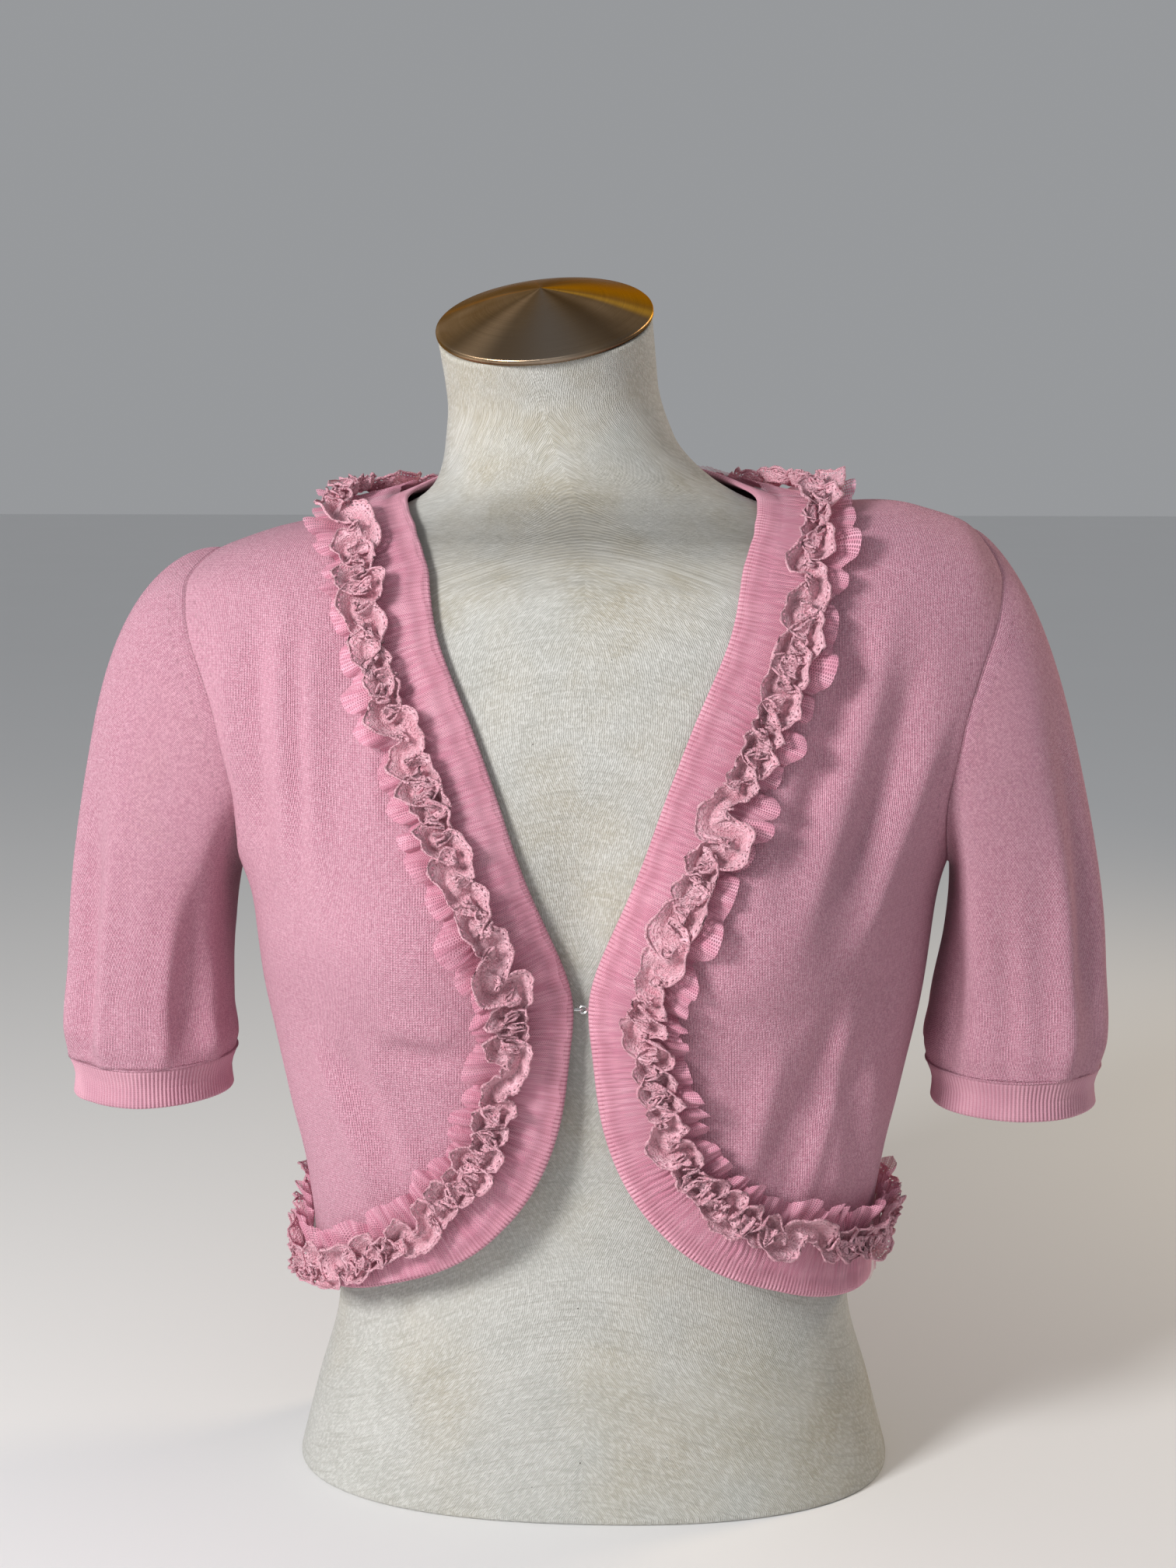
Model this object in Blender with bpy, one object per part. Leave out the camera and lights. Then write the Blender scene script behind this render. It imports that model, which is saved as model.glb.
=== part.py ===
"""Cropped short-sleeved knit cardigan with ruffled edging, worn by a limbless dress form.

Metres, +Z up, +X to the viewer's right, the garment's front faces -Y.
The origin is on the floor under the middle of the form.
One smooth body surface drives everything. The form is that surface, the garment
panels lie a little outside it, and every band and ruffle is laid out on the panels
by walking in from the garment's open edge.
"""

import math

import bpy
import numpy as np

# Driving sizes of the cloth
KNIT_WALL = 0.0018
BAND_WIDTH = 0.0120
BAND_WALL = 0.0022
SEAM_GAP = 0.0003
TULLE_WALL = 0.0010
TULLE_LIFT = 0.0026
TULLE_SHOULDER_LIFT = 0.0010
TRIM_END_GAP = 0.0010
TULLE_WIDTHS = (0.0030, 0.0190, 0.0300, 0.0390, 0.0470)
TULLE_STITCH = 0.0300
TULLE_WAVE = 0.0420
TULLE_WAVE_HEIGHT = 0.0080
LACE_WALL = 0.0012
LACE_HALF_WIDTH = 0.0115
LACE_WAVE = 0.0185
LACE_WAVE_HEIGHT = 0.0060
LACE_SHIFT = 0.0012
LACE_LIFT = 0.0024
NARROWING = 0.36
NARROW_FROM_SIDE = 0.055
NARROW_LENGTH = 0.075
CUFF_HEIGHT = 0.0200
CUFF_WALL = 0.0022

# Heights of the garment's key points
UNDERARM_Z = 0.312
SHOULDER_TIP_Z = 0.461
CORNER_Z = 0.150

# The form's horizontal sections, one row for each height
BODY_COLUMNS = ("height", "half_width", "front_depth", "back_depth")
BODY = (
    (0.000, 0.1520, 0.1000, 0.1080),
    (0.040, 0.1420, 0.0930, 0.0980),
    (0.080, 0.1315, 0.0860, 0.0870),
    (0.115, 0.1290, 0.0850, 0.0840),
    (0.150, 0.1340, 0.0880, 0.0860),
    (0.200, 0.1480, 0.0940, 0.0930),
    (0.250, 0.1605, 0.0980, 0.1000),
    (0.300, 0.1685, 0.1000, 0.1050),
    (0.340, 0.1830, 0.0990, 0.1080),
    (0.380, 0.2030, 0.0950, 0.1070),
    (0.420, 0.2110, 0.0870, 0.1000),
    (0.445, 0.2030, 0.0780, 0.0900),
    (0.460, 0.1850, 0.0690, 0.0790),
    (0.470, 0.1580, 0.0620, 0.0700),
    (0.478, 0.1250, 0.0570, 0.0640),
    (0.486, 0.0960, 0.0540, 0.0600),
    (0.494, 0.0760, 0.0515, 0.0560),
    (0.505, 0.0635, 0.0490, 0.0520),
    (0.520, 0.0560, 0.0475, 0.0490),
    (0.545, 0.0515, 0.0465, 0.0465),
    (0.580, 0.0520, 0.0495, 0.0495),
)
BODY_SQUARENESS = 2.35
BUST_HEIGHT = 0.288
BUST_SPREAD = 0.080
BUST_DEPTH = 0.030
BUST_HALF_WIDTH = 0.056
BUST_HALF_HEIGHT = 0.052
# The form's shoulder at +X stands a little higher than the other one
RAISED_HEIGHT = 0.0122
RAISED_FROM_X = 0.092
RAISED_FULL_X = 0.158
RAISED_FADE_X = 0.178
RAISED_TO_X = 0.206
RAISED_FROM_Z = 0.390
RAISED_FULL_Z = 0.452
ARM_PLATE_X = 0.182
ARM_PLATE_SOFTNESS = 0.008

# How far the garment's outer face stands off the form, one row for each height
EASE_COLUMNS = ("height", "side", "front", "back")
EASE = (
    (0.100, 0.0125, 0.0220, 0.0150),
    (0.150, 0.0100, 0.0185, 0.0125),
    (0.200, 0.0070, 0.0115, 0.0095),
    (0.250, 0.0052, 0.0062, 0.0068),
    (0.300, 0.0044, 0.0042, 0.0050),
    (0.380, 0.0044, 0.0042, 0.0047),
    (0.440, 0.0048, 0.0044, 0.0048),
    (0.470, 0.0048, 0.0046, 0.0048),
    (0.490, 0.0040, 0.0040, 0.0040),
    (0.520, 0.0033, 0.0033, 0.0033),
)
LEAST_EASE = 0.0031
LEAST_EASE_SOFTNESS = 0.0005

# The open edge in front view, from the neck point down to the side seam
FRONT_EDGE_COLUMNS = ("half_width", "height")
FRONT_EDGE = (
    (0.0805, 0.4840),
    (0.0790, 0.4740),
    (0.0710, 0.4390),
    (0.0485, 0.3790),
    (0.0235, 0.3130),
    (0.0105, 0.2840),
    (0.0035, 0.2600),
    (0.0050, 0.2350),
    (0.0095, 0.2025),
    (0.0260, 0.1640),
    (0.0550, 0.1345),
    (0.0880, 0.1170),
    (0.1140, 0.1070),
)
# The same edge round the back of the neck and along the back hem
BACK_EDGE_COLUMNS = ("turn_degrees", "height")
BACK_NECK_EDGE = ((180.0, 0.5070), (150.0, 0.5060), (120.0, 0.5015), (90.0, 0.4935))
BACK_HEM_EDGE = ((90.0, 0.1020), (120.0, 0.1040), (150.0, 0.1070), (180.0, 0.1085))

# Largest folds in front view: side, from, to, half-width of the crease and its height
FOLD_COLUMNS = ("side", "x0", "z0", "x1", "z1", "half_width", "height")
FOLDS = (
    (1, 0.150, 0.420, 0.085, 0.290, 0.0080, -0.0030),
    (1, 0.172, 0.400, 0.108, 0.270, 0.0085, -0.0034),
    (1, 0.178, 0.350, 0.135, 0.235, 0.0080, -0.0026),
    (1, 0.128, 0.240, 0.092, 0.155, 0.0085, -0.0034),
    (1, 0.118, 0.235, 0.122, 0.150, 0.0075, 0.0026),
    (-1, 0.155, 0.450, 0.150, 0.310, 0.0070, -0.0022),
    (-1, 0.120, 0.440, 0.118, 0.315, 0.0070, -0.0020),
    (-1, 0.098, 0.440, 0.096, 0.330, 0.0070, 0.0020),
    (-1, 0.080, 0.430, 0.085, 0.340, 0.0065, -0.0020),
    (-1, 0.120, 0.240, 0.060, 0.165, 0.0085, -0.0026),
    (-1, 0.135, 0.225, 0.095, 0.150, 0.0080, 0.0020),
)
BACK_FOLDS = (
    (1, 0.165, 0.410, 0.120, 0.280, 0.0090, -0.0026),
    (-1, 0.165, 0.410, 0.120, 0.280, 0.0090, -0.0026),
    (1, 0.045, 0.240, 0.050, 0.160, 0.0090, -0.0024),
    (-1, 0.060, 0.250, 0.055, 0.165, 0.0090, -0.0024),
    (1, 0.000, 0.250, 0.000, 0.165, 0.0090, 0.0022),
)

# Armhole and sleeve
ARMHOLE_FRONT_TURN = 34.0
ARMHOLE_BACK_TURN = 32.0
SLEEVE_END_Y = -0.0040
SLEEVE_END_Z = 0.2095
SLEEVE_HALF_DEPTH = 0.0485
CUFF_TAPER = 0.0020
SLEEVE_END_COLUMNS = ("centre_x", "half_width")
SLEEVE_ENDS = {1: (0.2115, 0.0430), -1: (0.2258, 0.0420)}
# How the sleeve sets off from the armhole and how it arrives at the cuff
SLEEVE_WAY_COLUMNS = ("turn_degrees", "leave_x", "leave_y", "leave_z", "arrive_x", "arrive_z")
SLEEVE_WAYS = {
    1: ((0.0, 0.110, 0.0, -0.045, -0.030, -0.250),
        (90.0, 0.060, -0.012, -0.085, -0.010, -0.170),
        (180.0, 0.034, 0.0, -0.008, 0.000, -0.120)),
    -1: ((0.0, 0.205, 0.0, 0.010, 0.022, -0.250),
         (90.0, 0.085, -0.014, -0.080, -0.005, -0.170),
         (180.0, 0.034, 0.0, -0.008, 0.000, -0.120)),
}
SLEEVE_FOLD_COLUMNS = ("side", "turn_degrees", "start", "end", "half_width_degrees", "height")
SLEEVE_FOLDS = (
    (-1, 52.0, 0.35, 1.05, 11.0, -0.0036),
    (-1, 92.0, 0.30, 1.05, 11.0, 0.0026),
    (-1, 128.0, 0.25, 1.00, 11.0, -0.0030),
    (-1, 240.0, 0.30, 1.00, 13.0, -0.0026),
    (1, 48.0, 0.20, 0.90, 11.0, -0.0030),
    (1, 78.0, 0.45, 1.05, 11.0, -0.0026),
    (1, 122.0, 0.25, 1.00, 12.0, 0.0024),
    (1, 250.0, 0.30, 1.00, 13.0, -0.0026),
)

# How far the form itself lies inside the body under the garment
FORM_SLACK_COLUMNS = ("height", "slack")
FORM_SLACK = ((0.0, 0.0), (0.120, 0.0008), (0.250, 0.0012), (0.420, 0.0014), (0.460, 0.0016),
              (0.480, 0.0024), (0.495, 0.0008), (0.508, 0.0), (0.600, 0.0))

# Neck of the form and its metal cap
NECK_BEND_Z = 0.504
NECK_LENGTH = 0.074
NECK_TILT = math.radians(24.0)
NECK_LEAN = math.radians(5.0)
NECK_SHIFT_COLUMNS = ("height", "shift")
NECK_SHIFTS = ((0.455, 0.0), (0.472, -0.0010), (0.485, -0.0036), (0.495, -0.0070), (0.505, -0.0115),
               (0.520, -0.0165), (0.545, -0.0192), (0.580, -0.0197))
CAP_RADIUS = 0.0530
CAP_HEIGHT = 0.0185
CAP_LIP = 0.0030

# Hook and eye
HOOK_WIRE = 0.00045
HOOK_Z = 0.2560
EYE_RADIUS = 0.0017
HOOK_SEAT = -0.0002
HOOK_BEND = 0.00105

# Mesh densities
COLUMNS_FRONT = 10
ROWS_LOW = 8
ROWS_ARM = 9
COLUMNS_SHOULDER = 5
COLUMNS_NECK = 10
TOP_PULL = 4
UNDERARM_ROWS = slice(ROWS_LOW, ROWS_LOW + 3)
SLEEVE_ROWS = 9
FORM_COLUMNS = 32
TULLE_STEPS_PER_WAVE = 4
LACE_STEPS_PER_WAVE = 4
TINY = 1.0e-5
WALK_STEP = 0.0020
EDGE_SPAN = 0.0070
LEVEL = np.array([1.0, 1.0, 0.0])


def smooth_line(xs, ys):
    """A function through the given points that never overshoots them."""
    xs = np.asarray(xs, float)
    ys = np.asarray(ys, float)
    steps = np.diff(xs)
    slopes = np.diff(ys) / steps
    tangents = np.zeros_like(ys)
    tangents[0] = slopes[0]
    tangents[-1] = slopes[-1]
    for i in range(1, len(xs) - 1):
        if slopes[i - 1] * slopes[i] > 0:
            before = 2 * steps[i] + steps[i - 1]
            after = steps[i] + 2 * steps[i - 1]
            tangents[i] = (before + after) / (before / slopes[i - 1] + after / slopes[i])

    def at(x):
        x = np.clip(np.asarray(x, float), xs[0], xs[-1])
        k = np.clip(np.searchsorted(xs, x) - 1, 0, len(steps) - 1)
        h = steps[k]
        t = (x - xs[k]) / h
        start = (1 + 2 * t) * (1 - t) ** 2 * ys[k] + t * (1 - t) ** 2 * h * tangents[k]
        end = t * t * (3 - 2 * t) * ys[k + 1] + t * t * (t - 1) * h * tangents[k + 1]
        return start + end

    return at


def smooth_step(x):
    x = np.clip(x, 0.0, 1.0)
    return x * x * (3 - 2 * x)


def unit(vectors):
    return vectors / np.linalg.norm(vectors, axis=-1, keepdims=True)


def column(table, columns, name):
    return [row[columns.index(name)] for row in table]


def section_lines(table, columns):
    heights = column(table, columns, "height")
    return {c: smooth_line(heights, column(table, columns, c)) for c in columns[1:]}


BODY_LINES = section_lines(BODY, BODY_COLUMNS)
EASE_LINES = section_lines(EASE, EASE_COLUMNS)
FORM_SLACK_LINE = section_lines(FORM_SLACK, FORM_SLACK_COLUMNS)["slack"]
NECK_SHIFT_LINE = section_lines(NECK_SHIFTS, NECK_SHIFT_COLUMNS)["shift"]


def body(turn, z):
    """A point of the bare body. The turn is 0 in front, +90 degrees at +X and 180 behind."""
    s, c = np.sin(turn), np.cos(turn)
    square = (np.abs(s) ** BODY_SQUARENESS + np.abs(c) ** BODY_SQUARENESS) ** (1 / BODY_SQUARENESS)
    x = BODY_LINES["half_width"](z) * s / square
    depth = np.where(c > 0, BODY_LINES["front_depth"](z), BODY_LINES["back_depth"](z))
    y = -depth * c / square
    across = (np.abs(x) - BUST_SPREAD) / BUST_HALF_WIDTH
    up = (z - BUST_HEIGHT) / BUST_HALF_HEIGHT
    bust = np.exp(-(across**2) - up**2) * smooth_step(c / square / 0.5)
    raised = smooth_step((x - RAISED_FROM_X) / (RAISED_FULL_X - RAISED_FROM_X))
    raised = raised * smooth_step((RAISED_TO_X - x) / (RAISED_TO_X - RAISED_FADE_X))
    raised = raised * smooth_step((z - RAISED_FROM_Z) / (RAISED_FULL_Z - RAISED_FROM_Z))
    return np.stack([x + NECK_SHIFT_LINE(z), y - BUST_DEPTH * bust, z + RAISED_HEIGHT * raised], -1)


def normals_of(surface, turn, z):
    """Outward normals of a surface given as a function of turn and height."""
    step = 1.0e-4
    along = surface(turn + step, z) - surface(turn - step, z)
    up = surface(turn, z + step) - surface(turn, z - step)
    normal = np.cross(along, up)
    return normal / np.linalg.norm(normal, axis=-1, keepdims=True)


def crease(x, z, fold):
    """Height of one soft fold at a point in front or back view."""
    side, x0, z0, x1, z1, half_width, height = fold
    x0, x1 = side * x0, side * x1
    dx, dz = x1 - x0, z1 - z0
    length = math.hypot(dx, dz)
    along = ((x - x0) * dx + (z - z0) * dz) / length**2
    across = ((x - x0) * dz - (z - z0) * dx) / length
    fade = smooth_step(along / 0.3) * smooth_step((1 - along) / 0.3)
    return height * fade * np.exp(-((across / half_width) ** 2))


def garment_smooth(turn, z):
    """The garment's outer face without its folds."""
    c = np.cos(turn)
    facing = smooth_step(np.abs(c))
    middle = np.where(c > 0, EASE_LINES["front"](z), EASE_LINES["back"](z))
    ease = EASE_LINES["side"](z) * (1 - facing) + middle * facing
    return body(turn, z) + normals_of(body, turn, z) * ease[..., None]


def garment(turn, z):
    """The garment's outer face with its largest folds."""
    points = garment_smooth(turn, z)
    c = np.cos(turn)
    relief = np.zeros_like(c)
    for fold in FOLDS:
        relief += crease(points[..., 0], z, fold) * smooth_step(c / 0.3)
    for fold in BACK_FOLDS:
        relief += crease(points[..., 0], z, fold) * smooth_step(-c / 0.3)
    relief = np.maximum(relief, -0.0040)
    face = normals_of(body, turn, z)
    facing = smooth_step(np.abs(c))
    middle = np.where(c > 0, EASE_LINES["front"](z), EASE_LINES["back"](z))
    ease = EASE_LINES["side"](z) * (1 - facing) + middle * facing
    above = (ease + relief - LEAST_EASE) / LEAST_EASE_SOFTNESS
    kept = LEAST_EASE + LEAST_EASE_SOFTNESS * np.log1p(np.exp(np.clip(above, -40, 40)))
    kept = np.where(np.abs(relief) > 1.0e-6, kept, ease)
    return points + face * (kept - ease)[..., None]


def lifted(turn, z, lift):
    """A point on a layer that lies the given distance outside the garment's face."""
    return garment(turn, z) + normals_of(garment_smooth, turn, z) * np.asarray(lift)[..., None]


def turn_at_x(x, z):
    """The turn at which the garment's front reaches the given distance from the middle."""
    turns = np.radians(np.linspace(0, 90, 181))
    reach = garment_smooth(turns, np.full_like(turns, z))[:, 0]
    reach = np.maximum.accumulate(reach)
    return float(np.interp(x, reach, turns))


def natural_spline(knots, values):
    """A smooth curve through all values, as a function of the knot position."""
    count = len(knots)
    gaps = np.diff(knots)
    matrix = np.zeros((count, count))
    right = np.zeros(count)
    matrix[0, 0] = matrix[-1, -1] = 1.0
    for i in range(1, count - 1):
        matrix[i, i - 1 : i + 2] = gaps[i - 1], 2 * (gaps[i - 1] + gaps[i]), gaps[i]
        rise = (values[i + 1] - values[i]) / gaps[i] - (values[i] - values[i - 1]) / gaps[i - 1]
        right[i] = 6 * rise
    bends = np.linalg.solve(matrix, right)

    def at(u):
        k = np.clip(np.searchsorted(knots, u) - 1, 0, count - 2)
        h = gaps[k]
        a = (knots[k + 1] - u) / h
        b = (u - knots[k]) / h
        bend = ((a**3 - a) * bends[k] + (b**3 - b) * bends[k + 1]) * h * h / 6
        return a * values[k] + b * values[k + 1] + bend

    return at


def make_open_edge():
    """The right half of the garment's open edge, as turn and height by arc length.

    It runs from the middle of the back neck, down the front and round to the middle
    of the back hem. Mirrored, it is one closed loop.
    """
    turns = [math.radians(t) for t, _ in BACK_NECK_EDGE]
    heights = [z for _, z in BACK_NECK_EDGE]
    for x, z in FRONT_EDGE:
        turns.append(turn_at_x(x, z))
        heights.append(z)
    for turn, z in BACK_HEM_EDGE:
        turns.append(math.radians(turn))
        heights.append(z)
    turns, heights = np.array(turns), np.array(heights)
    points = garment_smooth(turns, heights)
    knots = np.concatenate([[0], np.cumsum(np.linalg.norm(np.diff(points, axis=0), axis=1))])
    mirrored_knots = np.concatenate([-knots[:0:-1], knots, 2 * knots[-1] - knots[-2::-1]])
    mirrored_turns = np.concatenate([2 * math.pi - turns[:0:-1], turns, 2 * math.pi - turns[-2::-1]])
    mirrored_heights = np.concatenate([heights[:0:-1], heights, heights[-2::-1]])
    turn_line = natural_spline(mirrored_knots, mirrored_turns)
    height_line = natural_spline(mirrored_knots, mirrored_heights)
    fine = np.linspace(0, knots[-1], 1600)
    path = garment_smooth(turn_line(fine), height_line(fine))
    arc = np.concatenate([[0], np.cumsum(np.linalg.norm(np.diff(path, axis=0), axis=1))])
    return arc, turn_line(fine), height_line(fine)


EDGE_ARC, EDGE_TURN, EDGE_HEIGHT = make_open_edge()
EDGE_HALF = float(EDGE_ARC[-1])
SIDE_TURN = math.radians(90.0)
CLASP_ARC = float(np.interp(-HOOK_Z, -EDGE_HEIGHT[EDGE_HEIGHT > 0.2], EDGE_ARC[EDGE_HEIGHT > 0.2]))


def edge_at(arc):
    """Turn and height of the open edge, all round the closed loop, and the side it is on."""
    arc = np.mod(np.asarray(arc, float), 2 * EDGE_HALF)
    side = np.where(arc <= EDGE_HALF, 1.0, -1.0)
    folded = np.where(arc <= EDGE_HALF, arc, 2 * EDGE_HALF - arc)
    turn = np.interp(folded, EDGE_ARC, EDGE_TURN) * side
    return turn, np.interp(folded, EDGE_ARC, EDGE_HEIGHT)


def walk(arc, widths):
    """Turn and height reached by walking from the open edge across the garment.

    Each arc position gets its own line of points at the given distances from the edge.
    """
    arc = np.asarray(arc, float)
    widths = np.asarray(widths, float)
    turn, z = edge_at(arc)
    ahead = garment_smooth(*edge_at(arc + EDGE_SPAN)) - garment_smooth(*edge_at(arc - EDGE_SPAN))
    across = unit(np.cross(normals_of(garment_smooth, turn, z), ahead))
    steps = int(math.ceil(widths.max() / WALK_STEP)) + 1
    turns, heights = [turn], [z]
    eps = 1.0e-4
    for _ in range(steps):
        d_turn = (garment_smooth(turn + eps, z) - garment_smooth(turn - eps, z)) / (2 * eps)
        d_z = (garment_smooth(turn, z + eps) - garment_smooth(turn, z - eps)) / (2 * eps)
        tt = (d_turn * d_turn).sum(-1)
        tz = (d_turn * d_z).sum(-1)
        zz = (d_z * d_z).sum(-1)
        bt = (across * d_turn).sum(-1)
        bz = (across * d_z).sum(-1)
        det = tt * zz - tz * tz
        turn_step = (bt * zz - bz * tz) / det
        z_step = (bz * tt - bt * tz) / det
        moved = d_turn * turn_step[:, None] + d_z * z_step[:, None]
        scale = WALK_STEP / np.linalg.norm(moved, axis=-1)
        turn = turn + turn_step * scale
        z = z + z_step * scale
        across = unit(moved)
        turns.append(turn)
        heights.append(z)
    k = np.minimum((widths / WALK_STEP).astype(int), steps - 1)
    part = widths / WALK_STEP - k
    turns, heights = np.stack(turns), np.stack(heights)
    turn = turns[k] * (1 - part)[:, None] + turns[k + 1] * part[:, None]
    z = heights[k] * (1 - part)[:, None] + heights[k + 1] * part[:, None]
    return turn.T, z.T


def make_panel_edge():
    """Where the knit panels meet the ribbed band, as turn and height by arc length."""
    arc = np.linspace(0, EDGE_HALF, 700)
    turn, z = walk(arc, [BAND_WIDTH + SEAM_GAP])
    return arc, turn[:, 0], z[:, 0]


PANEL_ARC, PANEL_TURN, PANEL_HEIGHT = make_panel_edge()


def panel_edge(arcs, side):
    """Turn and height of the panels' border by the band, on either half of the garment."""
    turn, z = walk(np.asarray(arcs) * side, [BAND_WIDTH + SEAM_GAP])
    return np.stack([np.abs(turn[:, 0]), z[:, 0]], -1)


def arc_where(values, target, low, high):
    """The arc position between two limits at which a falling line reaches a value."""
    inside = (PANEL_ARC >= low) & (PANEL_ARC <= high)
    found = np.interp(-np.asarray(target), -values[inside], PANEL_ARC[inside])
    return np.clip(found, low, high)


PANEL_NECK_ARC = float(arc_where(PANEL_TURN, SIDE_TURN, 0.0, 0.15))
PANEL_SIDE_ARC = float(np.interp(SIDE_TURN, PANEL_TURN[PANEL_ARC > 0.5], PANEL_ARC[PANEL_ARC > 0.5]))
PANEL_CORNER_ARC = float(arc_where(PANEL_HEIGHT, CORNER_Z, PANEL_NECK_ARC, PANEL_SIDE_ARC - 0.06))


def armhole(share, behind):
    """The armhole seam from the shoulder tip, share 0, to the underarm, share 1."""
    middle = (SHOULDER_TIP_Z + UNDERARM_Z) / 2
    half = (SHOULDER_TIP_Z - UNDERARM_Z) / 2
    angle = math.pi * np.asarray(share, float)
    swing = ARMHOLE_BACK_TURN if behind else -ARMHOLE_FRONT_TURN
    return SIDE_TURN + math.radians(swing) * np.sin(angle), middle + half * np.cos(angle)


def blend_patch(left, right, bottom, top):
    """Fills a patch from its four borders. Left and right run up, bottom and top run across.

    The top border only shapes the highest rows, so the armhole never folds the patch.
    """
    rows, columns = len(left), len(bottom)
    v = np.linspace(0, 1, rows)[:, None, None] ** TOP_PULL
    u = np.linspace(0, 1, columns)[None, :, None]
    sides = (1 - u) * left[:, None] + u * right[:, None]
    ends = (1 - v) * bottom[None] + v * top[None]
    corners = (1 - u) * (1 - v) * left[0] + u * (1 - v) * right[0]
    corners = corners + (1 - u) * v * left[-1] + u * v * right[-1]
    return sides + ends - corners


def side_border(behind):
    """Side seam and armhole, from the hem up, as turn and height."""
    hem_z = np.interp(PANEL_SIDE_ARC, PANEL_ARC, PANEL_HEIGHT)
    low_z = np.linspace(hem_z, UNDERARM_Z, ROWS_LOW + 1)
    share = np.linspace(1, 0, ROWS_ARM + 1)[1:]
    arm_turn, arm_z = armhole(share, behind)
    turn = np.concatenate([np.full(ROWS_LOW + 1, SIDE_TURN), arm_turn])
    return np.stack([turn, np.concatenate([low_z, arm_z])], -1)


def front_edge_arcs():
    """Arc positions of the front panel's rows, from its lower corner up to the neck."""
    neck_z = float(np.interp(PANEL_NECK_ARC, PANEL_ARC, PANEL_HEIGHT))
    share = np.linspace(1, 0, ROWS_ARM + 1)[1:]
    arm_levels = UNDERARM_Z + (neck_z - UNDERARM_Z) * (1 + np.cos(math.pi * share)) / 2
    levels = np.concatenate([np.linspace(CORNER_Z, UNDERARM_Z, ROWS_LOW + 1), arm_levels])
    arcs = arc_where(PANEL_HEIGHT, levels, PANEL_NECK_ARC, PANEL_SIDE_ARC - 0.06)
    even = np.linspace(PANEL_CORNER_ARC, PANEL_NECK_ARC, len(arcs))
    arcs = 0.7 * arcs + 0.3 * even
    arcs[np.argmin(np.abs(arcs - CLASP_ARC))] = CLASP_ARC
    arcs[0], arcs[-1] = PANEL_CORNER_ARC, PANEL_NECK_ARC
    return arcs


def front_hem_arcs():
    return np.linspace(PANEL_CORNER_ARC, PANEL_SIDE_ARC, COLUMNS_FRONT + 1)


def back_hem_arcs():
    """Arc positions of the back panel's columns, from the side seam to the middle."""
    return np.linspace(PANEL_SIDE_ARC, EDGE_HALF, COLUMNS_SHOULDER + COLUMNS_NECK // 2 + 1)


def back_neck_arcs():
    """Arc positions of the back panel's neck columns, from the shoulder to the middle."""
    return np.linspace(PANEL_NECK_ARC, 0, COLUMNS_NECK // 2 + 1)


def shoulder_line(side, count):
    """The shoulder seam from the armhole's tip to the neck, as turn and height."""
    neck = panel_edge([PANEL_NECK_ARC], side)[0]
    share = np.linspace(0, 1, count + 1)[:, None]
    return (1 - share) * np.array([SIDE_TURN, SHOULDER_TIP_Z]) + share * neck


def front_patch(side):
    """Turn and height over one front, from its band to its side seam."""
    edge = panel_edge(front_edge_arcs(), side)
    hem = panel_edge(front_hem_arcs(), side)
    top = shoulder_line(side, COLUMNS_FRONT)[::-1]
    return blend_patch(edge, side_border(False), hem, top)


def back_patch():
    """Turn and height over the back, from the right side seam round to the left one."""
    borders = []
    for side in (1, -1):
        hem = panel_edge(back_hem_arcs(), side)
        shoulder = shoulder_line(side, COLUMNS_SHOULDER)
        top = np.concatenate([shoulder, panel_edge(back_neck_arcs(), side)[1:]])
        borders.append((side_border(True), hem, top))
    for part in borders[1]:
        part[:, 0] = 2 * math.pi - part[:, 0]
    right, left = borders
    hem = np.concatenate([right[1], left[1][-2::-1]])
    top = np.concatenate([right[2], left[2][-2::-1]])
    return blend_patch(right[0], left[0], hem, top)


def pull_in(grid, edges, distance):
    """Moves the named borders of a grid of points inwards, towards their neighbours."""
    grid = grid.copy()
    pairs = {"first_row": (0, 1), "last_row": (-1, -2)}
    for name, (at, beside) in pairs.items():
        if name in edges:
            way = grid[beside] - grid[at]
            grid[at] += way / np.linalg.norm(way, axis=-1, keepdims=True) * distance
    pairs = {"first_column": (0, 1), "last_column": (-1, -2)}
    for name, (at, beside) in pairs.items():
        if name in edges:
            way = grid[:, beside] - grid[:, at]
            grid[:, at] += way / np.linalg.norm(way, axis=-1, keepdims=True) * distance
    return grid


def facing_out(points, faces):
    """The same faces, all turned so that the closed body they bound faces outwards."""
    points = np.asarray(points, float)
    volume = 0.0
    for face in faces:
        for a, b in zip(face[1:-1], face[2:]):
            volume += np.dot(points[face[0]], np.cross(points[a], points[b]))
    return faces if volume > 0 else [face[::-1] for face in faces]


def mesh_object(name, points, faces, material, smooth=True):
    faces = facing_out(points, faces)
    mesh = bpy.data.meshes.new(name)
    mesh.from_pydata([tuple(p) for p in points], [], faces)
    mesh.validate()
    if smooth:
        mesh.shade_smooth()
    mesh.materials.append(material)
    made = bpy.data.objects.new(name, mesh)
    bpy.context.scene.collection.objects.link(made)
    return made


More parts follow.
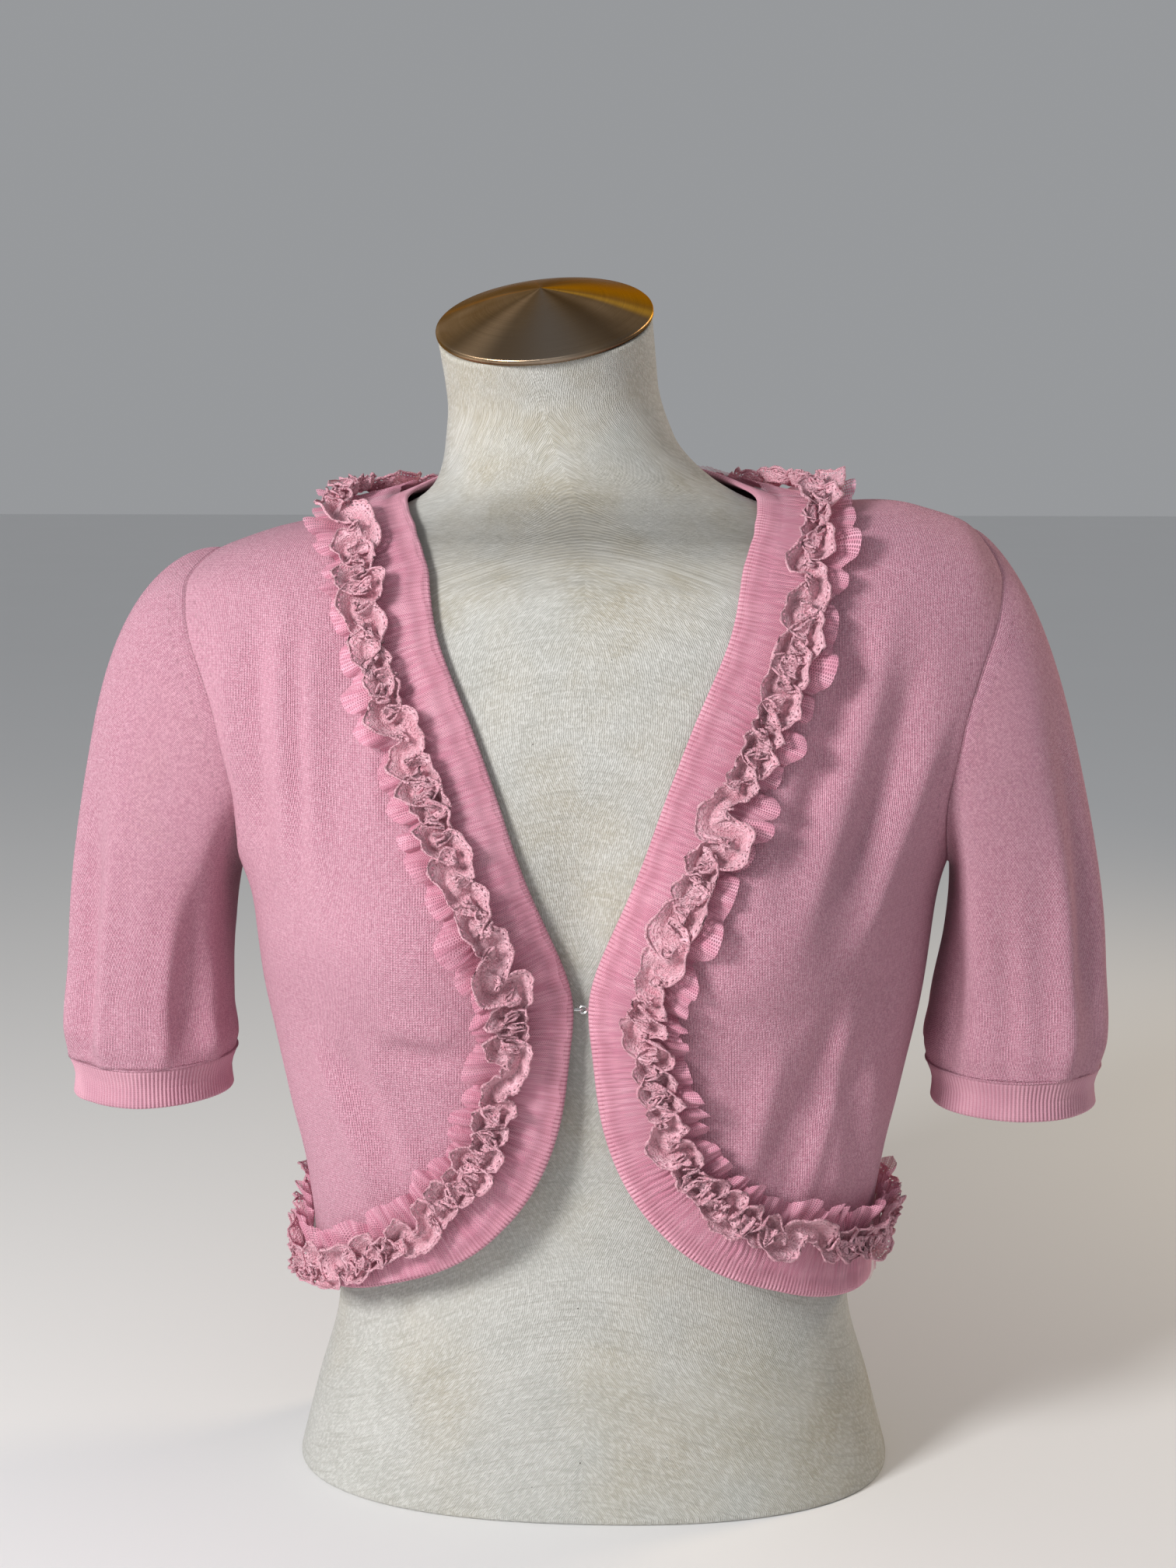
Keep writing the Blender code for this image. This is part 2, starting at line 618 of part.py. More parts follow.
def wall_object(name, outer, inner, material, closed=False):
    """A closed wall between two grids of points with the same layout."""
    rows, columns = outer.shape[:2]
    points = np.concatenate([outer.reshape(-1, 3), inner.reshape(-1, 3)])
    offset = rows * columns
    faces = []
    across = columns if closed else columns - 1

    def at(i, j, layer):
        return layer * offset + i * columns + j % columns

    for i in range(rows - 1):
        for j in range(across):
            faces.append((at(i, j, 0), at(i, j + 1, 0), at(i + 1, j + 1, 0), at(i + 1, j, 0)))
            faces.append((at(i, j, 1), at(i + 1, j, 1), at(i + 1, j + 1, 1), at(i, j + 1, 1)))
    for j in range(across):
        faces.append((at(0, j, 0), at(0, j, 1), at(0, j + 1, 1), at(0, j + 1, 0)))
        last = rows - 1
        faces.append((at(last, j, 0), at(last, j + 1, 0), at(last, j + 1, 1), at(last, j, 1)))
    if not closed:
        last = columns - 1
        for i in range(rows - 1):
            faces.append((at(i, 0, 0), at(i + 1, 0, 0), at(i + 1, 0, 1), at(i, 0, 1)))
            faces.append((at(i, last, 0), at(i, last, 1), at(i + 1, last, 1), at(i + 1, last, 0)))
    return mesh_object(name, points, faces, material)


def mirrored_wall(name, outer, inner, material, **options):
    flip = np.array([-1.0, 1.0, 1.0])
    return wall_object(name, outer * flip, inner * flip, material, **options)


def paint(name, colour, roughness, metallic=0.0):
    material = bpy.data.materials.new(name)
    material.use_nodes = True
    shader = material.node_tree.nodes["Principled BSDF"]
    shader.inputs["Base Color"].default_value = (*colour, 1.0)
    shader.inputs["Roughness"].default_value = roughness
    shader.inputs["Metallic"].default_value = metallic
    return material


def grid_normals(grid, closed):
    """Outward normals of a grid whose first axis runs down a tube and second round it."""
    down = np.gradient(grid, axis=0)
    if closed:
        round_it = np.roll(grid, -1, axis=1) - np.roll(grid, 1, axis=1)
    else:
        round_it = np.gradient(grid, axis=1)
    return unit(np.cross(round_it, down))


def sleeve_fold(side, angle, down):
    """Height of the sleeve's long soft folds at a turn round it and a share of its length."""
    height = 0.0 * (angle + down)
    degrees = np.degrees(angle)
    for fold_side, turn, start, end, half_width, size in SLEEVE_FOLDS:
        if fold_side == side:
            away = (degrees - turn + 180.0) % 360.0 - 180.0
            fade = smooth_step((down - start) / 0.3) * smooth_step((end - down) / 0.15)
            height = height + size * fade * np.exp(-((away / half_width) ** 2))
    return height


def sleeve_angles():
    """Turns round the armhole, one for each row of the panels that meet there."""
    front = np.linspace(0, math.pi, ROWS_ARM + 1)
    return np.concatenate([front, 2 * math.pi - front[-2:0:-1]])


def round_blend(outer, middle, inner, angle):
    """A value round the sleeve from its outer, front or back, and inner values."""
    mean = (outer + inner + 2 * middle) / 4
    first = (outer - inner) / 2
    second = (outer + inner - 2 * middle) / 4
    return mean + first * np.cos(angle) + second * np.cos(2 * angle)


def armhole_turns(angle):
    """Turn and height of the armhole seam at a turn round the sleeve."""
    behind = angle > math.pi + TINY
    share = np.where(behind, 2 * math.pi - angle, angle) / math.pi
    front_turn, z = armhole(share, False)
    back_turn, _ = armhole(share, True)
    return np.where(behind, back_turn, front_turn), z


def sleeve_smooth(side, rows, angle):
    """The outer face of a sleeve without folds, from the armhole to its cuff."""
    turn, z = armhole_turns(angle)
    start = garment(turn * side, z) * np.array([side, 1.0, 1.0])
    ways = np.array(SLEEVE_WAYS[side])
    ways = round_blend(ways[0][:, None], ways[1][:, None], ways[2][:, None], angle[None, :])
    _, leave_x, _, leave_z, arrive_x, arrive_z = ways
    leave = np.stack([leave_x, SLEEVE_WAYS[side][1][2] * np.sin(angle), leave_z], -1)
    arrive = np.stack([arrive_x, 0 * arrive_x, arrive_z], -1)
    centre_x, half_width = SLEEVE_ENDS[side]
    end = np.stack([
        centre_x + half_width * np.cos(angle),
        SLEEVE_END_Y - SLEEVE_HALF_DEPTH * np.sin(angle),
        np.full_like(angle, SLEEVE_END_Z),
    ], -1)
    down = np.linspace(0, 1, rows + 1)[:, None, None]
    grid = (2 * down**3 - 3 * down**2 + 1) * start + (down**3 - 2 * down**2 + down) * leave
    return grid + (3 * down**2 - 2 * down**3) * end + (down**3 - down**2) * arrive


def sleeve_grid(side, rows, angle):
    """The outer face of a sleeve with its soft folds, all on the +X side."""
    grid = sleeve_smooth(side, rows, angle)
    down = np.linspace(0, 1, rows + 1)[:, None]
    folds = sleeve_fold(side, angle[None, :], down)
    return grid + grid_normals(grid, True) * folds[..., None]


def cuff_grid(side, angle, rows=2):
    """The outer face of the ribbed cuff, carrying on the sleeve's last ring."""
    end = sleeve_grid(side, SLEEVE_ROWS, angle)[-1]
    centre = np.array([SLEEVE_ENDS[side][0], SLEEVE_END_Y, SLEEVE_END_Z])
    down = np.linspace(0, 1, rows + 1)[:, None, None]
    radial = (end - centre) * np.array([1.0, 1.0, 0.0])
    shrink = CUFF_TAPER * smooth_step(down * 2)
    ring = end - unit(radial) * shrink
    return ring - down * np.array([0.0, 0.0, CUFF_HEIGHT])


def seam_walls(side, angle):
    """How the wall is laid inwards at the armhole, shared by a panel and the sleeve."""
    turn, z = armhole_turns(angle)
    panel = normals_of(garment_smooth, turn * side, z) * np.array([side, 1.0, 1.0])
    sleeve = grid_normals(sleeve_smooth(side, 40, angle), True)[0]
    shared = unit(panel + sleeve)
    slant = np.maximum((shared * panel).sum(-1), 0.6)
    return shared * (KNIT_WALL / slant)[:, None]


def build_sleeve(side, name, material):
    angle = sleeve_angles()
    outer = sleeve_grid(side, SLEEVE_ROWS, angle)
    wall = grid_normals(outer, True) * KNIT_WALL
    wall[0] = seam_walls(side, angle)
    wall[-1] = unit(wall[-1] * LEVEL) * KNIT_WALL
    inner = outer - wall
    outer = pull_in(pull_in(outer, ("first_row",), SEAM_GAP), ("last_row",), SEAM_GAP / 2)
    inner = pull_in(pull_in(inner, ("first_row",), SEAM_GAP), ("last_row",), SEAM_GAP / 2)
    make = wall_object if side > 0 else mirrored_wall
    return make(name, outer, inner, material, closed=True)


def build_cuff(side, name, material):
    angle = sleeve_angles()
    outer = cuff_grid(side, angle)
    inner = outer - unit(grid_normals(outer, True) * LEVEL) * CUFF_WALL
    outer = pull_in(outer, ("first_row",), SEAM_GAP / 2)
    inner = pull_in(inner, ("first_row",), SEAM_GAP / 2)
    make = wall_object if side > 0 else mirrored_wall
    return make(name, outer, inner, material, closed=True)


def armhole_walls(side, behind):
    """The shared wall directions up one side of an armhole, from underarm to tip."""
    shared = seam_walls(side, sleeve_angles()) * np.array([side, 1.0, 1.0])
    if behind:
        shared = np.concatenate([shared[:1], shared[: ROWS_ARM - 1 : -1]])
    return shared[ROWS_ARM::-1]


def build_front(side, name, material):
    patch = front_patch(side)
    turn, z = patch[..., 0], patch[..., 1]
    outer = garment(turn * side, z)
    wall = normals_of(garment_smooth, turn * side, z) * KNIT_WALL
    wall[ROWS_LOW:, -1] = armhole_walls(side, False)
    inner = outer - wall
    borders = ("last_row", "last_column")
    outer = pull_in(outer, borders, SEAM_GAP / 2)
    inner = pull_in(inner, borders, SEAM_GAP / 2)
    for grid in (outer, inner):
        grid[UNDERARM_ROWS, -1, 2] -= SEAM_GAP
    return wall_object(name, outer, inner, material)


def build_back(name, material):
    patch = back_patch()
    turn, z = patch[..., 0], patch[..., 1]
    outer = garment(turn, z)
    wall = normals_of(garment_smooth, turn, z) * KNIT_WALL
    wall[ROWS_LOW:, 0] = armhole_walls(1, True)
    wall[ROWS_LOW:, -1] = armhole_walls(-1, True)
    inner = outer - wall
    outer = pull_in(outer, ("first_column", "last_column"), SEAM_GAP / 2)
    inner = pull_in(inner, ("first_column", "last_column"), SEAM_GAP / 2)
    for grid in (outer, inner):
        grid[UNDERARM_ROWS, 0, 2] -= SEAM_GAP
        grid[UNDERARM_ROWS, -1, 2] -= SEAM_GAP
    ends = (slice(0, COLUMNS_SHOULDER + 1), slice(-COLUMNS_SHOULDER - 1, None))
    for part in ends:
        for grid in (outer, inner):
            way = grid[-2, part] - grid[-1, part]
            grid[-1, part] += unit(way) * SEAM_GAP / 2
    return wall_object(name, outer, inner, material)


def band_arcs():
    """Arc positions round the right half, shared by the panels' borders and the band."""
    parts = (back_neck_arcs()[::-1], front_edge_arcs()[::-1], front_hem_arcs(), back_hem_arcs())
    return np.unique(np.round(np.concatenate(parts), 6))


# The four lengths into which the seams cut the band and both ruffles
STRIPS = {
    "neck_back": (-PANEL_NECK_ARC, PANEL_NECK_ARC),
    "front_right": (PANEL_NECK_ARC, PANEL_SIDE_ARC),
    "hem_back": (PANEL_SIDE_ARC, 2 * EDGE_HALF - PANEL_SIDE_ARC),
    "front_left": (2 * EDGE_HALF - PANEL_SIDE_ARC, 2 * EDGE_HALF - PANEL_NECK_ARC),
}


def stations(strip, step):
    """Evenly spaced arc positions along one length of trim, just inside its two ends."""
    start, end = STRIPS[strip]
    count = max(2, int(round((end - start) / step)))
    return np.linspace(start + TRIM_END_GAP / 2, end - TRIM_END_GAP / 2, count + 1)


def build_band(strip, material):
    start, end = STRIPS[strip]
    half = band_arcs()
    loop = np.unique(np.round(np.concatenate([-half, half, 2 * EDGE_HALF - half]), 6))
    arcs = loop[(loop > start - TINY) & (loop < end + TINY)]
    turn, z = walk(arcs, [0.0, BAND_WIDTH])
    outer = garment(turn, z)
    inner = outer - normals_of(garment_smooth, turn, z) * BAND_WALL
    outer = pull_in(outer, ("first_row", "last_row"), SEAM_GAP / 2)
    inner = pull_in(inner, ("first_row", "last_row"), SEAM_GAP / 2)
    return wall_object("band_" + strip, outer, inner, material)


def tulle_phase(arc):
    """Phase of the tulle's waves, with their uneven spacing."""
    loop = 2 * math.pi * arc / (2 * EDGE_HALF)
    waves = round(2 * EDGE_HALF / TULLE_WAVE)
    return waves * loop + 0.9 * np.sin(5 * loop) + 0.7 * np.sin(13 * loop + 1.0)


def lace_phase(arc):
    """Phase of the lace's waves, with their uneven spacing."""
    loop = 2 * math.pi * arc / (2 * EDGE_HALF)
    waves = round(2 * EDGE_HALF / LACE_WAVE)
    return waves * loop + 1.1 * np.sin(7 * loop + 0.4) + 0.8 * np.sin(19 * loop + 2.0)


def trim_narrowing(arc):
    """The trim lies nearer the edge along the left front's hem, by this share."""
    arc = np.mod(arc, 2 * EDGE_HALF)
    middle = 2 * EDGE_HALF - PANEL_SIDE_ARC + NARROW_FROM_SIDE
    return 1.0 - NARROWING * np.exp(-(((arc - middle) / NARROW_LENGTH) ** 2))


def tulle_lift(arc, width):
    """Height of the tulle's outer face above the knit."""
    start, end = TULLE_WIDTHS[0], TULLE_WIDTHS[-1]
    loop = np.mod(arc, 2 * EDGE_HALF)
    from_shoulder = np.minimum(loop, 2 * EDGE_HALF - loop) - PANEL_NECK_ARC
    rest = TULLE_LIFT + TULLE_SHOULDER_LIFT * np.exp(-((from_shoulder / 0.02) ** 2))
    rest = rest + 0.0007 * smooth_step((width - start) / 0.012)
    flare = smooth_step((width - TULLE_STITCH) / (end - TULLE_STITCH))
    loop = 2 * math.pi * arc / (2 * EDGE_HALF)
    size = TULLE_WAVE_HEIGHT * (0.8 + 0.2 * np.sin(9 * loop + 0.7))
    return rest + size * flare * (0.5 + 0.5 * np.sin(tulle_phase(arc)))


def trim_points(arc, width):
    """Turn and height for trim points at their own arc positions and distances."""
    reach = np.linspace(0.0, 0.060, 31)
    turn, z = np.zeros_like(arc), np.zeros_like(arc)
    for j in range(arc.shape[1]):
        lines_turn, lines_z = walk(arc[:, j], reach)
        for i in range(len(arc)):
            turn[i, j] = np.interp(width[i, j], reach, lines_turn[i])
            z[i, j] = np.interp(width[i, j], reach, lines_z[i])
    return turn, z


def build_tulle(strip, material):
    arcs = stations(strip, TULLE_WAVE / TULLE_STEPS_PER_WAVE)
    widths = np.array(TULLE_WIDTHS)[None, :] + 0 * arcs[:, None]
    lift = tulle_lift(arcs[:, None], widths)
    narrowed = widths * trim_narrowing(arcs)[:, None]
    narrowed = np.maximum(narrowed, TULLE_WIDTHS[0])
    turn, z = trim_points(arcs[:, None] + 0 * widths, narrowed)
    outer = lifted(turn, z, lift)
    inner = lifted(turn, z, lift - TULLE_WALL)
    return wall_object("tulle_" + strip, outer, inner, material)


def lace_layout(arc, fade):
    """Where the lace's two edges and its middle lie: arc position, distance and lift."""
    phase = lace_phase(arc)
    swing = np.sin(phase)
    arcs, widths, lifts = [], [], []
    for across in (-1.0, 0.0, 1.0):
        arcs.append(arc - across * LACE_SHIFT * swing * fade)
        drift = 0.0020 * np.sin(phase * 0.5 + 0.6)
        reach = LACE_HALF_WIDTH * (0.85 - 0.15 * across * swing)
        widths.append(TULLE_STITCH + drift + across * reach)
        rise = 0.5 + 0.5 * across * np.cos(phase) if across else 0.0 * phase
        lifts.append(LACE_LIFT + LACE_WAVE_HEIGHT * rise)
    return np.stack(arcs, 1), np.stack(widths, 1), np.stack(lifts, 1)


def build_lace(strip, material):
    arcs = stations(strip, LACE_WAVE / LACE_STEPS_PER_WAVE)
    to_end = np.minimum(arcs - arcs[0], arcs[-1] - arcs)
    arc, width, lift = lace_layout(arcs, smooth_step(to_end / 0.008))
    lift = lift + tulle_lift(arc, width)
    turn, z = trim_points(arc, width * trim_narrowing(arc))
    outer = lifted(turn, z, lift)
    inner = lifted(turn, z, lift - LACE_WALL)
    return wall_object("lace_" + strip, outer, inner, material)


def form_ring(turn, z):
    """A ring of the form: the body, a touch slimmer, its arms cut off by smooth plates."""
    points = body(turn, z) - normals_of(body, turn, z) * FORM_SLACK_LINE(z)[..., None]
    x = points[..., 0]
    past = (np.abs(x) - ARM_PLATE_X) / ARM_PLATE_SOFTNESS
    soft = np.abs(x) - ARM_PLATE_SOFTNESS * np.log1p(np.exp(np.clip(past, -40, 40)))
    points[..., 0] = np.sign(x) * np.maximum(soft, 0.0)
    return points


def neck_frame(share):
    """Centre and turning of the neck at a share of its length above the bend."""
    steps = np.linspace(0, share, 24)
    tilt = NECK_TILT * smooth_step(steps)
    lean = NECK_LEAN * smooth_step(steps)
    way = np.stack([-np.sin(lean), -np.sin(tilt), np.cos(tilt) * np.cos(lean)], -1)
    halfway = (way[1:] + way[:-1]) / 2
    centre = (halfway * np.diff(steps * NECK_LENGTH)[:, None]).sum(0)
    tilt, lean = tilt[-1], lean[-1]
    about_x = np.array([
        [1, 0, 0],
        [0, math.cos(tilt), -math.sin(tilt)],
        [0, math.sin(tilt), math.cos(tilt)],
    ])
    about_y = np.array([
        [math.cos(lean), 0, -math.sin(lean)],
        [0, 1, 0],
        [math.sin(lean), 0, math.cos(lean)],
    ])
    return centre + np.array([0, 0, NECK_BEND_Z]), about_y @ about_x


def neck_ring(turn, share):
    """A ring of the neck, carried along its bend."""
    flat = form_ring(turn, np.full_like(turn, NECK_BEND_Z + share * NECK_LENGTH))
    centre, turning = neck_frame(share)
    flat[:, 2] = 0.0
    return flat @ turning.T + centre


def neck_top_centre():
    return neck_ring(np.linspace(0, 2 * math.pi, 64, endpoint=False), 1.0).mean(0)


def build_form(material):
    turn = np.linspace(0, 2 * math.pi, FORM_COLUMNS, endpoint=False)
    turn = turn + 0.2 * np.sin(2 * turn)
    heights = (0.0, 0.003, 0.03, 0.07, 0.11, 0.15, 0.19, 0.225, 0.255, 0.28, 0.305, 0.335, 0.365,
               0.395, 0.42, 0.438, 0.45, 0.457, 0.463, 0.468, 0.473, 0.478, 0.483, 0.488, 0.493, 0.498)
    rings = [form_ring(turn, np.full_like(turn, z)) for z in heights]
    rings[0][:, :2] *= 0.985
    rings += [neck_ring(turn, share) for share in (0.0, 0.14, 0.34, 0.56, 0.8, 1.0)]
    points = np.concatenate(rings)
    n = FORM_COLUMNS
    faces = []
    for i in range(len(rings) - 1):
        for j in range(n):
            k = (j + 1) % n
            faces.append((i * n + j, i * n + k, (i + 1) * n + k, (i + 1) * n + j))
    faces.append(tuple(range(n - 1, -1, -1)))
    top = (len(rings) - 1) * n
    faces.append(tuple(top + j for j in range(n)))
    return mesh_object("form_torso", points, faces, material)


def build_cap(material):
    """A shallow metal cone on a thin lip, set square on the tilted neck."""
    _, turning = neck_frame(1.0)
    centre = neck_top_centre()
    turn = np.linspace(0, 2 * math.pi, 40, endpoint=False)
    profile = ((CAP_RADIUS - 0.0010, 0.0), (CAP_RADIUS, 0.0008), (CAP_RADIUS, CAP_LIP),
               (CAP_RADIUS - 0.0012, CAP_LIP + 0.0010), (0.030, CAP_LIP + 0.0095), (0.0, CAP_HEIGHT))
    points, faces = [], []
    for radius, height in profile[:-1]:
        ring = np.stack([radius * np.sin(turn), -radius * np.cos(turn), np.full_like(turn, height)], -1)
        points.append(ring)
    points.append(np.array([[0.0, 0.0, profile[-1][1]]]))
    points = np.concatenate(points) + np.array([0, 0, SEAM_GAP])
    points = points @ turning.T + centre
    n = len(turn)
    for i in range(len(profile) - 2):
        for j in range(n):
            k = (j + 1) % n
            faces.append((i * n + j, i * n + k, (i + 1) * n + k, (i + 1) * n + j))
    last = (len(profile) - 2) * n
    for j in range(n):
        faces.append((last + j, last + (j + 1) % n, (len(profile) - 1) * n))
    faces.append(tuple(range(n - 1, -1, -1)))
    return mesh_object("neck_cap", points, faces, material)


def wire(name, points, material, cyclic=False):
    curve = bpy.data.curves.new(name, "CURVE")
    curve.dimensions = "3D"
    curve.bevel_depth = HOOK_WIRE
    curve.bevel_resolution = 1
    curve.use_fill_caps = not cyclic
    spline = curve.splines.new("POLY")
    spline.points.add(len(points) - 1)
    for target, p in zip(spline.points, points):
        target.co = (*p, 1.0)
    spline.use_cyclic_u = cyclic
    curve.materials.append(material)
    made = bpy.data.objects.new(name, curve)
    bpy.context.scene.collection.objects.link(made)
    return made


def build_clasp(material):
    """A wire hook on the left band, caught in a round eye at the right band's edge."""
    edge_x, face_y, _ = garment_smooth(*edge_at(np.array([CLASP_ARC])))[0]
    y = face_y + BAND_WALL / 2
    eye_x = edge_x - HOOK_WIRE - EYE_RADIUS
    hook_x = -edge_x - HOOK_SEAT
    around = np.linspace(0, 2 * math.pi, 16, endpoint=False)
    eye = [(eye_x + EYE_RADIUS * math.cos(a), y, HOOK_Z + EYE_RADIUS * math.sin(a)) for a in around]
    wire("clasp_eye", eye, material, cyclic=True)
    bend_x = eye_x - EYE_RADIUS
    bend = np.linspace(-math.pi / 2, math.pi / 2, 7)
    hook = [(hook_x, y - HOOK_BEND, HOOK_Z)]
    hook += [(bend_x + HOOK_BEND * math.cos(a), y + HOOK_BEND * math.sin(a), HOOK_Z) for a in bend]
    hook.append((hook_x, y + HOOK_BEND, HOOK_Z))
    wire("clasp_hook", hook, material)


def main():
    for old in list(bpy.data.objects):
        bpy.data.objects.remove(old)
    knit = paint("pink_knit", (0.66, 0.30, 0.37), 0.85)
    rib = paint("pink_rib", (0.62, 0.27, 0.34), 0.85)
    tulle = paint("pink_tulle", (0.70, 0.28, 0.36), 0.7)
    lace = paint("dusty_pink_lace", (0.64, 0.33, 0.37), 0.85)
    cover = paint("off_white_linen", (0.58, 0.56, 0.50), 0.9)
    brass = paint("brushed_brass", (0.42, 0.27, 0.12), 0.32, 1.0)
    steel = paint("clasp_wire", (0.75, 0.75, 0.76), 0.25, 1.0)
    build_form(cover)
    build_cap(brass)
    build_front(1, "front_right", knit)
    build_front(-1, "front_left", knit)
    build_back("back", knit)
    for side, word in ((1, "right"), (-1, "left")):
        build_sleeve(side, "sleeve_" + word, knit)
        build_cuff(side, "cuff_" + word, rib)
    for strip in STRIPS:
        build_band(strip, rib)
        build_tulle(strip, tulle)
        build_lace(strip, lace)
    build_clasp(steel)


main()
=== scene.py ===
"""Finished look of the cropped ruffled cardigan on its dress form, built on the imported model.

Metres, +Z up, +X to the viewer's right, the garment's front faces -Y.
The cloth is laid out again, finely, from the same body sections, open edge and folds
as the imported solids, and then gets its ribs, puckers, ruffles, lace and knit.
"""

import math

import bpy
import numpy as np
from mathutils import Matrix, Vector


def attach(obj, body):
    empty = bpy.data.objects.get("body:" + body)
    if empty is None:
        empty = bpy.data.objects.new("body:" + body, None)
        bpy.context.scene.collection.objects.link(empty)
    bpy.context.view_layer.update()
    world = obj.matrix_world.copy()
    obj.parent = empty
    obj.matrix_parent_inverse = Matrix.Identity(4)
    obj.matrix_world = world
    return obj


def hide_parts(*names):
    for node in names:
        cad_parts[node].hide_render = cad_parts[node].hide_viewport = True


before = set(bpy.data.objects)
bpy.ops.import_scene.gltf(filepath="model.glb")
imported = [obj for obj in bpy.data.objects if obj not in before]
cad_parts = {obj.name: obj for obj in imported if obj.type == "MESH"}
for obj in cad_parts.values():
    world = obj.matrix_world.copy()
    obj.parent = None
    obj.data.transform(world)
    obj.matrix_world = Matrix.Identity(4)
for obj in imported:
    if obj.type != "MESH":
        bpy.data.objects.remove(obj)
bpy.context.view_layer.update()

# Driving sizes of the cloth
BAND_WIDTH = 0.0120
BAND_WALL = 0.0022
SEAM_GAP = 0.0003
TULLE_LIFT = 0.0026
TULLE_SHOULDER_LIFT = 0.0010
TULLE_SHOULDER_LENGTH = 0.020
TULLE_RISE = 0.0007
TULLE_RISE_WIDTH = 0.012
TULLE_INNER = 0.0030
TULLE_OUTER = 0.0470
TULLE_STITCH = 0.0300
TULLE_WAVE = 0.0420
TULLE_WAVE_HEIGHT = 0.0080
TULLE_GATHER = 1.35
LACE_HALF_WIDTH = 0.0115
LACE_LIFT = 0.0024
NARROWING = 0.36
NARROW_FROM_SIDE = 0.055
NARROW_LENGTH = 0.075
CUFF_HEIGHT = 0.0200
CUFF_WALL = 0.0022

# Heights of the garment's key points
UNDERARM_Z = 0.312
SHOULDER_TIP_Z = 0.461
CORNER_Z = 0.150

# The form's horizontal sections, one row for each height
BODY_COLUMNS = ("height", "half_width", "front_depth", "back_depth")
BODY = (
    (0.000, 0.1520, 0.1000, 0.1080),
    (0.040, 0.1420, 0.0930, 0.0980),
    (0.080, 0.1315, 0.0860, 0.0870),
    (0.115, 0.1290, 0.0850, 0.0840),
    (0.150, 0.1340, 0.0880, 0.0860),
    (0.200, 0.1480, 0.0940, 0.0930),
    (0.250, 0.1605, 0.0980, 0.1000),
    (0.300, 0.1685, 0.1000, 0.1050),
    (0.340, 0.1830, 0.0990, 0.1080),
    (0.380, 0.2030, 0.0950, 0.1070),
    (0.420, 0.2110, 0.0870, 0.1000),
    (0.445, 0.2030, 0.0780, 0.0900),
    (0.460, 0.1850, 0.0690, 0.0790),
    (0.470, 0.1580, 0.0620, 0.0700),
    (0.478, 0.1250, 0.0570, 0.0640),
    (0.486, 0.0960, 0.0540, 0.0600),
    (0.494, 0.0760, 0.0515, 0.0560),
    (0.505, 0.0635, 0.0490, 0.0520),
    (0.520, 0.0560, 0.0475, 0.0490),
    (0.545, 0.0515, 0.0465, 0.0465),
    (0.580, 0.0520, 0.0495, 0.0495),
)
BODY_SQUARENESS = 2.35
BUST_HEIGHT = 0.288
BUST_SPREAD = 0.080
BUST_DEPTH = 0.030
BUST_HALF_WIDTH = 0.056
BUST_HALF_HEIGHT = 0.052
BUST_FACING = 0.5
# The form's shoulder at +X stands a little higher than the other one
RAISED_HEIGHT = 0.0122
RAISED_FROM_X = 0.092
RAISED_FULL_X = 0.158
RAISED_FADE_X = 0.178
RAISED_TO_X = 0.206
RAISED_FROM_Z = 0.390
RAISED_FULL_Z = 0.452
ARM_PLATE_X = 0.182
ARM_PLATE_SOFTNESS = 0.008

# How far the garment's outer face stands off the form, one row for each height
EASE_COLUMNS = ("height", "side", "front", "back")
EASE = (
    (0.100, 0.0125, 0.0220, 0.0150),
    (0.150, 0.0100, 0.0185, 0.0125),
    (0.200, 0.0070, 0.0115, 0.0095),
    (0.250, 0.0052, 0.0062, 0.0068),
    (0.300, 0.0044, 0.0042, 0.0050),
    (0.380, 0.0044, 0.0042, 0.0047),
    (0.440, 0.0048, 0.0044, 0.0048),
    (0.470, 0.0048, 0.0046, 0.0048),
    (0.490, 0.0040, 0.0040, 0.0040),
    (0.520, 0.0033, 0.0033, 0.0033),
)
LEAST_EASE = 0.0031
LEAST_EASE_SOFTNESS = 0.0005
FOLD_DEPTH = 0.0040
FOLD_FADE = 0.3
FOLD_FACING = 0.3
FLAT = 1.0e-6
SLIGHT = 1.0e-4

# The open edge in front view, from the neck point down to the side seam
# Each row: half width, height
FRONT_EDGE = (
    (0.0805, 0.4840),
    (0.0790, 0.4740),
    (0.0710, 0.4390),
    (0.0485, 0.3790),
    (0.0235, 0.3130),
    (0.0105, 0.2840),
    (0.0035, 0.2600),
    (0.0050, 0.2350),
    (0.0095, 0.2025),
    (0.0260, 0.1640),
    (0.0550, 0.1345),
    (0.0880, 0.1170),
    (0.1140, 0.1070),
)
# The same edge round the back of the neck and along the back hem
# Each row: turn in degrees, height
BACK_NECK_EDGE = ((180.0, 0.5070), (150.0, 0.5060), (120.0, 0.5015), (90.0, 0.4935))
BACK_HEM_EDGE = ((90.0, 0.1020), (120.0, 0.1040), (150.0, 0.1070), (180.0, 0.1085))

